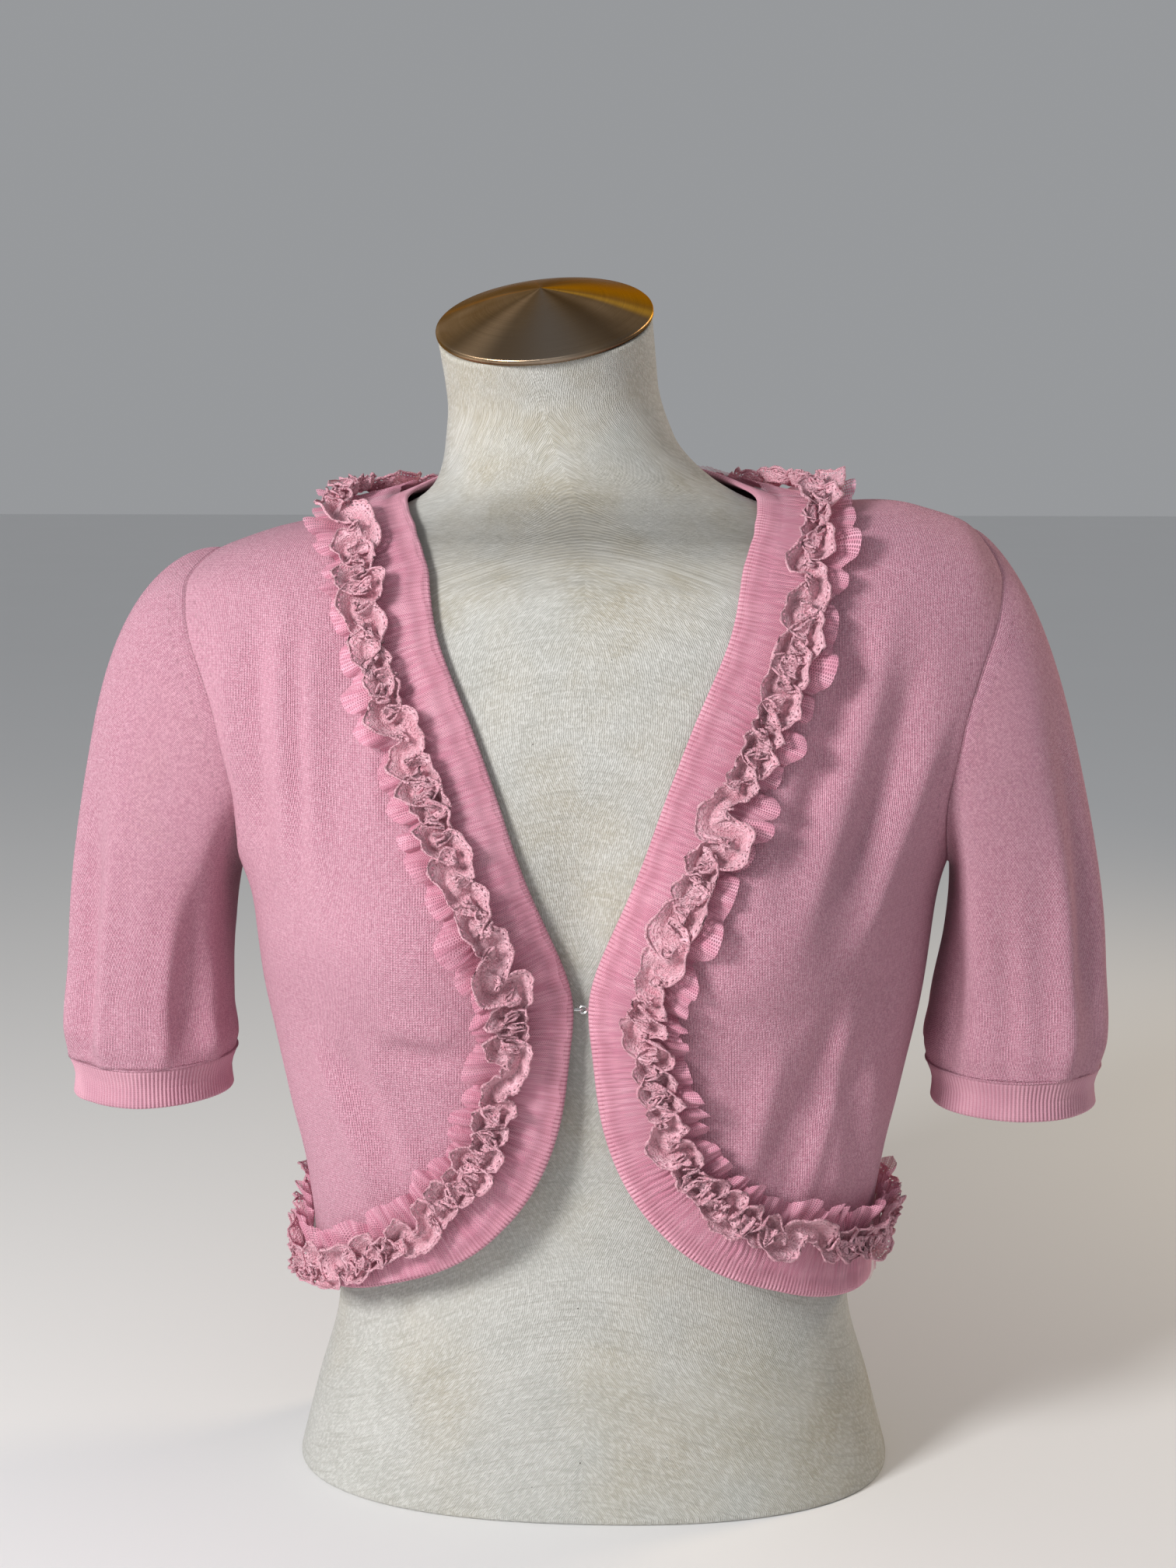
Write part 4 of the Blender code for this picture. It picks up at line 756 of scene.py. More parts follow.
def make_panel_edge():
    """Where the knit panels meet the ribbed band, as turn and height by arc length."""
    arc = np.linspace(0, EDGE_HALF, PANEL_EDGE_POINTS)
    turn, z = walk(arc, [BAND_WIDTH + SEAM_GAP])
    return arc, turn[:, 0], z[:, 0]


PANEL_ARC, PANEL_TURN, PANEL_HEIGHT = make_panel_edge()


def panel_edge(arcs, side):
    """Turn and height of the panels' border by the band, on either half of the garment."""
    turn, z = walk(np.asarray(arcs) * side, [BAND_WIDTH + SEAM_GAP])
    return np.stack([np.abs(turn[:, 0]), z[:, 0]], -1)


def arc_where(values, target, low, high):
    """The arc position between two limits at which a falling line reaches a value."""
    inside = (PANEL_ARC >= low) & (PANEL_ARC <= high)
    found = np.interp(-np.asarray(target), -values[inside], PANEL_ARC[inside])
    return np.clip(found, low, high)


HEM_PART = PANEL_ARC > HEM_PART_FROM
PANEL_NECK_ARC = float(arc_where(PANEL_TURN, SIDE_TURN, 0.0, NECK_PART_TO))
PANEL_SIDE_ARC = float(np.interp(SIDE_TURN, PANEL_TURN[HEM_PART], PANEL_ARC[HEM_PART]))
FRONT_ARCS = (PANEL_NECK_ARC, PANEL_SIDE_ARC - PANEL_SIDE_MARGIN)
PANEL_CORNER_ARC = float(arc_where(PANEL_HEIGHT, CORNER_Z, *FRONT_ARCS))


def armhole(share, behind):
    """The armhole seam from the shoulder tip, share 0, to the underarm, share 1."""
    middle = (SHOULDER_TIP_Z + UNDERARM_Z) / 2
    half = (SHOULDER_TIP_Z - UNDERARM_Z) / 2
    angle = math.pi * np.asarray(share, float)
    swing = ARMHOLE_BACK_TURN if behind else -ARMHOLE_FRONT_TURN
    return SIDE_TURN + math.radians(swing) * np.sin(angle), middle + half * np.cos(angle)


def blend_patch(left, right, bottom, top):
    """Fills a patch from its four borders. Left and right run up, bottom and top run across.

    The top border only shapes the highest rows, so the armhole never folds the patch.
    """
    rows, columns = len(left), len(bottom)
    v = np.linspace(0, 1, rows)[:, None, None] ** TOP_PULL
    u = np.linspace(0, 1, columns)[None, :, None]
    sides = (1 - u) * left[:, None] + u * right[:, None]
    ends = (1 - v) * bottom[None] + v * top[None]
    corners = (1 - u) * (1 - v) * left[0] + u * (1 - v) * right[0]
    corners = corners + (1 - u) * v * left[-1] + u * v * right[-1]
    return sides + ends - corners


def side_border(behind):
    """Side seam and armhole, from the hem up, as turn and height."""
    hem_z = np.interp(PANEL_SIDE_ARC, PANEL_ARC, PANEL_HEIGHT)
    low_z = np.linspace(hem_z, UNDERARM_Z, ROWS_LOW + 1)
    share = np.linspace(1, 0, ROWS_ARM + 1)[1:]
    arm_turn, arm_z = armhole(share, behind)
    turn = np.concatenate([np.full(ROWS_LOW + 1, SIDE_TURN), arm_turn])
    return np.stack([turn, np.concatenate([low_z, arm_z])], -1)


def front_edge_arcs():
    """Arc positions of the front panel's rows, from its lower corner up to the neck."""
    neck_z = float(np.interp(PANEL_NECK_ARC, PANEL_ARC, PANEL_HEIGHT))
    share = np.linspace(1, 0, ROWS_ARM + 1)[1:]
    arm_levels = UNDERARM_Z + (neck_z - UNDERARM_Z) * (1 + np.cos(math.pi * share)) / 2
    levels = np.concatenate([np.linspace(CORNER_Z, UNDERARM_Z, ROWS_LOW + 1), arm_levels])
    arcs = arc_where(PANEL_HEIGHT, levels, *FRONT_ARCS)
    even = np.linspace(PANEL_CORNER_ARC, PANEL_NECK_ARC, len(arcs))
    arcs = (1 - EVEN_SHARE) * arcs + EVEN_SHARE * even
    arcs[0], arcs[-1] = PANEL_CORNER_ARC, PANEL_NECK_ARC
    return arcs


def front_hem_arcs():
    return np.linspace(PANEL_CORNER_ARC, PANEL_SIDE_ARC, COLUMNS_FRONT + 1)


def back_hem_arcs():
    """Arc positions of the back panel's columns, from the side seam to the middle."""
    return np.linspace(PANEL_SIDE_ARC, EDGE_HALF, COLUMNS_SHOULDER + COLUMNS_NECK // 2 + 1)


def back_neck_arcs():
    """Arc positions of the back panel's neck columns, from the shoulder to the middle."""
    return np.linspace(PANEL_NECK_ARC, 0, COLUMNS_NECK // 2 + 1)


def shoulder_line(side, count):
    """The shoulder seam from the armhole's tip to the neck, as turn and height."""
    neck = panel_edge([PANEL_NECK_ARC], side)[0]
    share = np.linspace(0, 1, count + 1)[:, None]
    return (1 - share) * np.array([SIDE_TURN, SHOULDER_TIP_Z]) + share * neck


def front_patch(side):
    """Turn and height over one front, from its band to its side seam."""
    edge = panel_edge(front_edge_arcs(), side)
    hem = panel_edge(front_hem_arcs(), side)
    top = shoulder_line(side, COLUMNS_FRONT)[::-1]
    return blend_patch(edge, side_border(False), hem, top)


def back_patch():
    """Turn and height over the back, from the right side seam round to the left one."""
    borders = []
    for side in (1, -1):
        hem = panel_edge(back_hem_arcs(), side)
        shoulder = shoulder_line(side, COLUMNS_SHOULDER)
        top = np.concatenate([shoulder, panel_edge(back_neck_arcs(), side)[1:]])
        borders.append((side_border(True), hem, top))
    for part in borders[1]:
        part[:, 0] = 2 * math.pi - part[:, 0]
    right, left = borders
    hem = np.concatenate([right[1], left[1][-2::-1]])
    top = np.concatenate([right[2], left[2][-2::-1]])
    return blend_patch(right[0], left[0], hem, top)


def grid_normals(grid, closed):
    """Outward normals of a grid whose first axis runs down a tube and second round it."""
    down = np.gradient(grid, axis=0)
    if closed:
        round_it = np.roll(grid, -1, axis=1) - np.roll(grid, 1, axis=1)
    else:
        round_it = np.gradient(grid, axis=1)
    return unit(np.cross(round_it, down))


def sleeve_relief(folds, side, angle, down, end_fade):
    """Height of a sleeve's folds at a turn round it and a share of its length."""
    height = 0.0 * (angle + down)
    for fold_side, turn, start, end, half_width, size in folds:
        if fold_side == side:
            away = (np.degrees(angle) - turn + 180.0) % 360.0 - 180.0
            fade = smooth_step((down - start) / FOLD_FADE) * smooth_step((end - down) / end_fade)
            height = height + size * fade * hump(away, half_width)
    return height


def round_blend(outer, middle, inner, angle):
    """A value round the sleeve from its outer, front or back, and inner values."""
    mean = (outer + inner + 2 * middle) / 4
    first = (outer - inner) / 2
    second = (outer + inner - 2 * middle) / 4
    return mean + first * np.cos(angle) + second * np.cos(2 * angle)


def armhole_turns(angle):
    """Turn and height of the armhole seam at a turn round the sleeve."""
    behind = angle > math.pi + TINY
    share = np.where(behind, 2 * math.pi - angle, angle) / math.pi
    front_turn, z = armhole(share, False)
    back_turn, _ = armhole(share, True)
    return np.where(behind, back_turn, front_turn), z


def sleeve_smooth(side, rows, angle):
    """The outer face of a sleeve without folds, from the armhole to its cuff."""
    turn, z = armhole_turns(angle)
    start = garment(turn * side, z) * np.array([side, 1.0, 1.0])
    ways = np.array(SLEEVE_WAYS[side])
    ways = round_blend(ways[0][:, None], ways[1][:, None], ways[2][:, None], angle[None, :])
    _, leave_x, _, leave_z, arrive_x, arrive_z = ways
    leave = np.stack([leave_x, SLEEVE_WAYS[side][1][2] * np.sin(angle), leave_z], -1)
    arrive = np.stack([arrive_x, 0 * arrive_x, arrive_z], -1)
    centre_x, half_width = SLEEVE_ENDS[side]
    end = np.stack([
        centre_x + half_width * np.cos(angle),
        SLEEVE_END_Y - SLEEVE_HALF_DEPTH * np.sin(angle),
        np.full_like(angle, SLEEVE_END_Z),
    ], -1)
    down = np.linspace(0, 1, rows + 1)[:, None, None]
    grid = (2 * down**3 - 3 * down**2 + 1) * start + (down**3 - 2 * down**2 + down) * leave
    return grid + (3 * down**2 - 2 * down**3) * end + (down**3 - down**2) * arrive


def sleeve_grid(side, rows, angle):
    """The outer face of a sleeve with its soft folds, all on the +X side."""
    grid = sleeve_smooth(side, rows, angle)
    down = np.linspace(0, 1, rows + 1)[:, None]
    folds = sleeve_relief(SLEEVE_FOLDS, side, angle[None, :], down, FOLD_END_FADE)
    return grid + grid_normals(grid, True) * folds[..., None]


def cuff_grid(side, angle, rows=2):
    """The outer face of the ribbed cuff, carrying on the sleeve's last ring."""
    end = sleeve_grid(side, SLEEVE_ROWS, angle)[-1]
    centre = np.array([SLEEVE_ENDS[side][0], SLEEVE_END_Y, SLEEVE_END_Z])
    down = np.linspace(0, 1, rows + 1)[:, None, None]
    radial = (end - centre) * np.array([1.0, 1.0, 0.0])
    shrink = CUFF_TAPER * smooth_step(down * 2)
    ring = end - unit(radial) * shrink
    return ring - down * np.array([0.0, 0.0, CUFF_HEIGHT])


# The four lengths into which the seams cut the band and both ruffles
STRIPS = {
    "neck_back": (-PANEL_NECK_ARC, PANEL_NECK_ARC),
    "front_right": (PANEL_NECK_ARC, PANEL_SIDE_ARC),
    "hem_back": (PANEL_SIDE_ARC, 2 * EDGE_HALF - PANEL_SIDE_ARC),
    "front_left": (2 * EDGE_HALF - PANEL_SIDE_ARC, 2 * EDGE_HALF - PANEL_NECK_ARC),
}


def loop_angle(arc):
    """The arc position as an angle that turns once round the whole open edge."""
    return math.pi * arc / EDGE_HALF


def edge_waves(arc, pitch, swings):
    """Phase of waves along the edge, from their mean pitch and the slow swings of it."""
    loop = loop_angle(arc)
    phase = round(2 * EDGE_HALF / pitch) * loop
    for size, turns, start in swings:
        phase = phase + size * np.sin(turns * loop + start)
    return phase


def flare_at(width):
    """How far the net has flared out at a distance from the edge, from 0 to 1."""
    return smooth_step((width - TULLE_STITCH) / (TULLE_OUTER - TULLE_STITCH))


def trim_narrowing(arc):
    """The trim lies nearer the edge along the left front's hem, by this share."""
    arc = np.mod(arc, 2 * EDGE_HALF)
    middle = 2 * EDGE_HALF - PANEL_SIDE_ARC + NARROW_FROM_SIDE
    return 1.0 - NARROWING * hump(arc - middle, NARROW_LENGTH)


def tulle_lift(arc, width):
    """Height of the tulle's outer face above the knit."""
    past = np.mod(arc, 2 * EDGE_HALF)
    from_shoulder = np.minimum(past, 2 * EDGE_HALF - past) - PANEL_NECK_ARC
    rest = TULLE_LIFT + TULLE_SHOULDER_LIFT * hump(from_shoulder, TULLE_SHOULDER_LENGTH)
    rest = rest + TULLE_RISE * smooth_step((width - TULLE_INNER) / TULLE_RISE_WIDTH)
    size = TULLE_WAVE_HEIGHT * (0.8 + 0.2 * np.sin(9 * loop_angle(arc) + 0.7))
    wave = edge_waves(arc, TULLE_WAVE, TULLE_SWINGS)
    return rest + size * flare_at(width) * (0.5 + 0.5 * np.sin(wave))


def form_ring(turn, z):
    """A ring of the form: the body, a touch slimmer, its arms cut off by smooth plates."""
    points = body(turn, z) - normals_of(body, turn, z) * FORM_SLACK_LINE(z)[..., None]
    x = points[..., 0]
    soft = np.abs(x) - soft_excess(np.abs(x) - ARM_PLATE_X, ARM_PLATE_SOFTNESS)
    points[..., 0] = np.sign(x) * np.maximum(soft, 0.0)
    return points


def neck_frame(share):
    """Centre and turning of the neck at a share of its length above the bend."""
    steps = np.linspace(0, share, 24)
    tilt = NECK_TILT * smooth_step(steps)
    lean = NECK_LEAN * smooth_step(steps)
    way = np.stack([-np.sin(lean), -np.sin(tilt), np.cos(tilt) * np.cos(lean)], -1)
    halfway = (way[1:] + way[:-1]) / 2
    centre = (halfway * np.diff(steps * NECK_LENGTH)[:, None]).sum(0)
    tilt, lean = tilt[-1], lean[-1]
    about_x = np.array([
        [1, 0, 0],
        [0, math.cos(tilt), -math.sin(tilt)],
        [0, math.sin(tilt), math.cos(tilt)],
    ])
    about_y = np.array([
        [math.cos(lean), 0, -math.sin(lean)],
        [0, 1, 0],
        [math.sin(lean), 0, math.cos(lean)],
    ])
    return centre + np.array([0, 0, NECK_BEND_Z]), about_y @ about_x


def neck_ring(turn, share):
    """A ring of the neck, carried along its bend."""
    flat = form_ring(turn, np.full_like(turn, NECK_BEND_Z + share * NECK_LENGTH))
    centre, turning = neck_frame(share)
    flat[:, 2] = 0.0
    return flat @ turning.T + centre


def neck_top_centre():
    return neck_ring(np.linspace(0, 2 * math.pi, 64, endpoint=False), 1.0).mean(0)


# Laying out the cloth


def fine_relief(points, z, turn):
    """Height of the small folds and of the knit's faint unevenness."""
    x = points[..., 0]
    uneven = np.sin(61 * x + 17 * z + 1.0) * np.sin(83 * z - 29 * x)
    uneven = uneven + 0.6 * np.sin(151 * x - 47 * z) * np.sin(127 * z + 2.0)
    return fold_relief(points, turn, z, FINE_FOLDS, FINE_BACK_FOLDS) + KNIT_UNEVEN * uneven


def make_trim_table():
    """Turn and height reached by walking in from the edge, for every arc and distance."""
    arcs = np.arange(-WALK_SPARE, 2 * EDGE_HALF + WALK_SPARE, WALK_STEP)
    reach = np.arange(0.0, WALK_REACH + WALK_STEP / 2, WALK_STEP)
    turn, z = walk(arcs, reach)
    return arcs, np.unwrap(turn, axis=0), z


TRIM_ARCS, TRIM_TURNS, TRIM_HEIGHTS = make_trim_table()


def bilinear(table, row, column):
    i = np.clip(np.floor(row).astype(int), 0, table.shape[0] - 2)
    j = np.clip(np.floor(column).astype(int), 0, table.shape[1] - 2)
    a, b = row - i, column - j
    low = table[i, j] * (1 - b) + table[i, j + 1] * b
    high = table[i + 1, j] * (1 - b) + table[i + 1, j + 1] * b
    return low * (1 - a) + high * a


def trim_points(arc, width):
    """Turn and height of points given by arc position and distance from the edge."""
    row = (arc - TRIM_ARCS[0]) / WALK_STEP
    column = np.clip(width, 0.0, WALK_REACH - SLIGHT) / WALK_STEP
    return bilinear(TRIM_TURNS, row, column), bilinear(TRIM_HEIGHTS, row, column)


def make_cloth_table():
    """Distances across and up the garment's face, for the knit's wales and courses."""
    turns = np.linspace(-math.pi, 2 * math.pi, CLOTH_TABLE_TURNS)
    heights = np.linspace(*CLOTH_TABLE_HEIGHTS)
    turn, z = np.meshgrid(turns, heights, indexing="ij")
    points = garment_smooth(turn, z)
    across = run_along(points)
    across -= across[np.argmin(np.abs(turns))]
    return turns, heights, np.stack([across, run_along(points, 1)], -1)


CLOTH_TURNS, CLOTH_HEIGHTS, CLOTH_PLACES = make_cloth_table()


def cloth_place(turn, z):
    """Metres across and up the cloth at a turn and height."""
    row = (turn - CLOTH_TURNS[0]) / (CLOTH_TURNS[1] - CLOTH_TURNS[0])
    column = (z - CLOTH_HEIGHTS[0]) / (CLOTH_HEIGHTS[1] - CLOTH_HEIGHTS[0])
    return np.stack([bilinear(CLOTH_PLACES[..., k], row, column) for k in (0, 1)], -1)


def grid_place(grid):
    """Metres round and down a tube's grid, measured on the grid itself, seam included."""
    closed = np.concatenate([grid, grid[:, :1]], axis=1)
    across = run_along(closed, 1)
    across -= across[:, -1:] / 2
    return np.stack([across, -run_along(closed)], -1)


# Building meshes


def end_caps(rows, columns):
    """Rows and columns of the faces' corners that close a folded wall at its two ends."""
    i = np.arange(rows // 2 - 1)
    first, last = np.zeros_like(i), np.full_like(i, columns - 1)
    starts = [(i, first), (i + 1, first), (rows - 2 - i, first), (rows - 1 - i, first)]
    ends = [(i + 1, last), (i, last), (rows - 1 - i, last), (rows - 2 - i, last)]
    return [tuple(map(np.append, start, end)) for start, end in zip(starts, ends)]


def add_object(name, data):
    made = bpy.data.objects.new(name, data)
    bpy.context.scene.collection.objects.link(made)
    return made


def grid_object(name, grid, material, maps, wrap_rows=False, wrap_columns=False):
    """A mesh from a grid of points, with maps in metres for its procedural material."""
    rows, columns = grid.shape[:2]
    i, j = np.meshgrid(
        np.arange(rows - (not wrap_rows)), np.arange(columns - (not wrap_columns)), indexing="ij"
    )
    i, j = i.ravel(), j.ravel()
    corners = [(i, j), (i, j + 1), (i + 1, j + 1), (i + 1, j)]
    if wrap_rows and not wrap_columns and rows % 2 == 0:
        caps = end_caps(rows, columns)
        corners = [tuple(map(np.append, pair, cap)) for pair, cap in zip(corners, caps)]
    points = grid.reshape(-1, 3)
    faces = np.stack([(a % rows) * columns + b % columns for a, b in corners], 1)
    a, b, c, d = (points[faces[:, k]] for k in range(4))
    volume = (a * (np.cross(b, c) + np.cross(c, d))).sum()
    order = slice(None) if volume > 0 else slice(None, None, -1)
    mesh = bpy.data.meshes.new(name)
    mesh.from_pydata(points.tolist(), [], faces[:, order].tolist())
    for map_name, values in maps.items():
        if wrap_rows:
            values = np.concatenate([values, values[:1]])
        layer = mesh.uv_layers.new(name=map_name)
        last = values.shape[1] - 1
        spots = np.stack([values[a, np.minimum(b, last)] for a, b in corners], 1)
        layer.data.foreach_set("uv", spots[:, order].ravel())
    mesh.shade_smooth()
    mesh.materials.append(material)
    return add_object(name, mesh)


def shell(name, outer, inner, material, maps, wrap_columns=False):
    """A thin closed wall of cloth between two grids of points."""
    grid = np.concatenate([outer, inner[::-1]])
    maps = {key: np.concatenate([values, values[::-1]]) for key, values in maps.items()}
    return grid_object(name, grid, material, maps, True, wrap_columns)


def cord_tube(name, path, radius, material, closed, sides=8):
    """A round cord along a path, with the distance along it as its map."""
    path = np.asarray(path, float)
    ahead = np.roll(path, -1, axis=0) - np.roll(path, 1, axis=0)
    if not closed:
        ahead[0], ahead[-1] = path[1] - path[0], path[-1] - path[-2]
    ahead = unit(ahead)
    across = unit(np.cross(ahead, CORD_ASIDE))
    other = np.cross(ahead, across)
    turn = np.linspace(0, 2 * math.pi, sides, endpoint=False)[:, None, None]
    radius = np.broadcast_to(radius, len(path))[None, :, None]
    grid = path[None] + (across[None] * np.cos(turn) + other[None] * np.sin(turn)) * radius
    along = run_along(path)
    if closed:
        along = np.append(along, along[-1] * len(path) / (len(path) - 1))
    around = np.arange(sides) * 0.0005
    spot = np.stack(np.meshgrid(around, along, indexing="ij")[::-1], -1)
    return grid_object(name, grid, material, {"cloth": spot}, True, closed)


def place(piece, node):
    """The piece rides on the part and stands for its solid."""
    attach(piece, "root")
    if node:
        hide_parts(node)
    return piece


def seam_distance(grid, columns):
    """Distance of each point from the nearest of the named border columns, along its row."""
    from_first = run_along(grid, 1)
    away = np.full(grid.shape[:2], 1.0)
    if "first" in columns:
        away = np.minimum(away, from_first)
    if "last" in columns:
        away = np.minimum(away, from_first[:, -1:] - from_first)
    return away


def knit_panel(name, turn, z, seams, centre, material):
    """One panel of the body, with folds, a dip at its seams and the knit's map."""
    outward = normals_of(garment_smooth, turn, z)
    outer = garment(turn, z)
    away = seam_distance(outer, seams)
    dip = SEAM_DIP * hump(away, SEAM_HALF_WIDTH)
    fade = smooth_step(away / SEAM_FLAT)
    outer = outer + outward * (fine_relief(outer, z, turn) * fade - dip)[..., None]
    inner = outer - outward * FINE_WALL
    spot = cloth_place(turn, z) - np.array([centre, 0.0])
    marks = np.stack([away, spot[..., 1]], -1)
    panel = shell("knit_" + name, outer, inner, material, {"cloth": spot, "seam": marks})
    place(panel, name)
    return panel


def build_panels(material):
    for side, name in ((1, "front_right"), (-1, "front_left")):
        patch = front_patch(side)
        panel = knit_panel(name, patch[..., 0] * side, patch[..., 1], ("last",), 0.0, material)
    patch = back_patch()
    middle = cloth_place(np.array([math.pi]), np.array([0.30]))[0, 0]
    panel = knit_panel("back", patch[..., 0], patch[..., 1], ("first", "last"), middle, material)


def fine_sleeve(side, rows, angle):
    """The sleeve's outer face with its large and small folds, on the +X side."""
    grid = sleeve_grid(side, rows, angle)
    down = np.linspace(0, 1, rows + 1)[:, None]
    relief = sleeve_relief(FINE_SLEEVE_FOLDS, side, angle[None, :], down, FINE_FOLD_END_FADE)
    puff = smooth_step((down - PUFF_FROM) / PUFF_RISE) * smooth_step((1 - down) / PUFF_FALL)
    return grid + grid_normals(grid, True) * (relief + SLEEVE_PUFF * puff)[..., None]


def build_cuff(side, word, knit, rib):
    """A ribbed cuff and the linked seam that joins it to its sleeve."""
    flip = np.array([side, 1.0, 1.0])
    angle = np.linspace(0, 2 * math.pi, CUFF_RIBS * STEPS_PER_RIB, endpoint=False)
    levels = np.array(CUFF_LEVELS)
    down = levels[:, None]
    ridge = np.cos(CUFF_RIBS * angle)[None, :]
    smooth = cuff_grid(side, angle, CUFF_ROWS)
    cuff = np.stack([smooth[int(round(level * CUFF_ROWS))] for level in levels])
    outward = unit(grid_normals(smooth, True) * LEVEL)[CUFF_ROWS // 2]
    relief = CUFF_RELIEF * ridge * smooth_step(down / CUFF_RIB_START)
    relief = relief - CUFF_WAIST * np.sin(math.pi * down)
    relief = relief + CUFF_WAVER * np.sin(angle * 5 + side)[None, :] * down
    roll = np.where(down > CUFF_ROLL_FROM, CUFF_ROLL, 0.0)
    depth = relief * CUFF_INNER_RELIEF - CUFF_WALL * CUFF_WALL_SHARE + roll
    outer = cuff + outward[None] * (relief - roll)[..., None]
    inner = cuff + outward[None] * depth[..., None]
    spot = grid_place(outer)
    spot[..., 0] = np.arange(spot.shape[1])[None, :] / STEPS_PER_RIB * CUFF_PITCH
    piece = shell("rib_cuff_" + word, outer * flip, inner * flip, rib, {"cloth": spot}, True)
    place(piece, "cuff_" + word)
    welt = (smooth[0] + outward * WELT_LIFT)[::STEPS_PER_RIB] * flip
    cord = cord_tube("cuff_seam_" + word, welt, SEAM_CORD * WELT_CORD, knit, True)
    place(cord, None)
    return piece


def build_sleeve(side, word, knit, rib):
    """A sleeve with its armhole seam, and its cuff."""
    flip = np.array([side, 1.0, 1.0])
    angle = np.linspace(0, 2 * math.pi, SLEEVE_COLUMNS, endpoint=False)
    outer = fine_sleeve(side, SLEEVE_ROWS, angle)
    outward = grid_normals(outer, True)
    spot = grid_place(outer)
    dip = SEAM_DIP * hump(spot[:, :-1, 1], SEAM_HALF_WIDTH)
    outer = outer - outward * dip[..., None]
    inner = outer - outward * FINE_WALL
    marks = np.stack([-spot[..., 1], spot[..., 0]], -1)
    maps = {"cloth": spot, "seam": marks}
    sleeve = shell("knit_sleeve_" + word, outer * flip, inner * flip, knit, maps, True)
    place(sleeve, "sleeve_" + word)
    seam = (outer[0] - outward[0] * SEAM_CORD * SEAM_SINK) * flip
    cord = cord_tube("armhole_seam_" + word, seam, SEAM_CORD, knit, True)
    place(cord, None)
    piece = build_cuff(side, word, knit, rib)


def strip_grid(strip, step, widths):
    """Arc positions along one strip, and the given values across it, as a grid."""
    start, end = STRIPS[strip]
    arcs = np.linspace(start, end, int(round((end - start) / step)) + 1)
    arc, width = np.meshgrid(arcs, widths)
    return arc, width


def build_band(strip, material):
    """The ribbed edging, its ribs square to the edge, folded round at the open edge."""
    start, end = STRIPS[strip]
    ribs = int(round((end - start) / RIB_PITCH))
    arcs = np.linspace(start, end, ribs * BAND_STEPS_PER_RIB + 1)
    ridge = np.cos(2 * math.pi * ribs * (arcs - start) / (end - start))
    grid, spots = [], []
    for width, lift, share in BAND_LAYERS:
        reach = np.full_like(arcs, width) + (BAND_RIM_WAVE * ridge if width < BAND_RIM else 0.0)
        turn, z = trim_points(arcs, np.maximum(reach, 0.0))
        grid.append(lifted(turn, z, lift + RIB_RELIEF * share * ridge))
        spots.append(np.stack([arcs, np.full_like(arcs, width)], -1))
    grid, spots = np.stack(grid), np.stack(spots)
    band = grid_object("rib_band_" + strip, grid, material, {"cloth": spots}, True)
    place(band, "band_" + strip)


def trim_width(arc, width):
    """Distance from the edge, where the trim hangs lower along the left front's hem."""
    narrow = trim_narrowing(arc)
    drop = HEM_DROP * (1 - narrow) / NARROWING
    return width * narrow - drop * (1 - 0.9 * flare_at(width))


def net_lift(arc, width):
    """Height of the net above the knit, with its puckers, ruffles and petals."""
    loop = loop_angle(arc)
    flare = flare_at(width)
    near = hump(width - TULLE_STITCH, STITCH_REACH)
    pucker = edge_waves(arc, PUCKER_PITCH, PUCKER_SWINGS) + 0.9 * np.sin(400 * width + 9 * loop)
    bunch = edge_waves(arc, BUNCH_PITCH, BUNCH_SWINGS)
    ruffle = edge_waves(arc, RUFFLE_PITCH, RUFFLE_SWINGS)
    petal = edge_waves(arc, PETAL_PITCH, PETAL_SWINGS)
    # Puckers are deepest by the stitching and fade out where the net flares
    fold = np.sin(pucker) * (0.45 + 0.75 * near) * (1 - 0.85 * flare)
    fold = fold + BUNCH_HEIGHT / PUCKER_HEIGHT * np.sin(bunch) * near * (1 - flare)
    puckers = PUCKER_HEIGHT * (0.55 + 0.45 * np.sin(29 * loop + 0.4)) * fold
    petals = flare * (PETAL_HEIGHT * np.cos(petal + 0.6) + RUFFLE_HEIGHT * np.sin(ruffle))
    return tulle_lift(arc, width) + puckers + petals


def net_point(arc, width):
    """Where a point of the net lies: its own arc position, distance from the edge and lift."""
    flare = flare_at(width)
    inner = smooth_step((TULLE_STITCH - width) / (TULLE_STITCH - TULLE_INNER))
    phase = edge_waves(arc, TULLE_WAVE, TULLE_SWINGS)
    petal = edge_waves(arc, PETAL_PITCH, PETAL_SWINGS)
    shifted = arc + flare * (PETAL_CURL * np.sin(petal) + PETAL_SKEW * np.sin(2 * petal + 1.1))
    reach = width + inner * (INNER_WAVE * np.sin(phase * 2 + 0.9) + 0.0002 * np.sin(petal * 2))
    grown = 0.85 + 0.45 * np.sin(phase * 0.7 + 1.0)
    petals = PETAL_REACH * grown * np.cos(petal) + OUTER_WAVE * np.sin(phase) - PETAL_SHORTENING
    return shifted, np.maximum(reach + flare * petals, NET_LEAST), net_lift(arc, width)


def build_tulle(strip, material):
    """The net ruffle: puckered where it is stitched, flaring into petals outside the lace."""
    share = np.linspace(0, 1, TULLE_ROWS)
    arc, width = strip_grid(strip, TULLE_STEP, TULLE_INNER + (TULLE_OUTER - TULLE_INNER) * share)
    shifted, reach, lift = net_point(arc, width)
    turn, z = trim_points(shifted, np.maximum(trim_width(shifted, reach), NET_MARGIN))
    grid = lifted(turn, z, lift)
    spot = np.stack([arc * TULLE_GATHER, width * 1.1], -1)
    net = grid_object("net_" + strip, grid, material, {"cloth": spot})
    place(net, "tulle_" + strip)


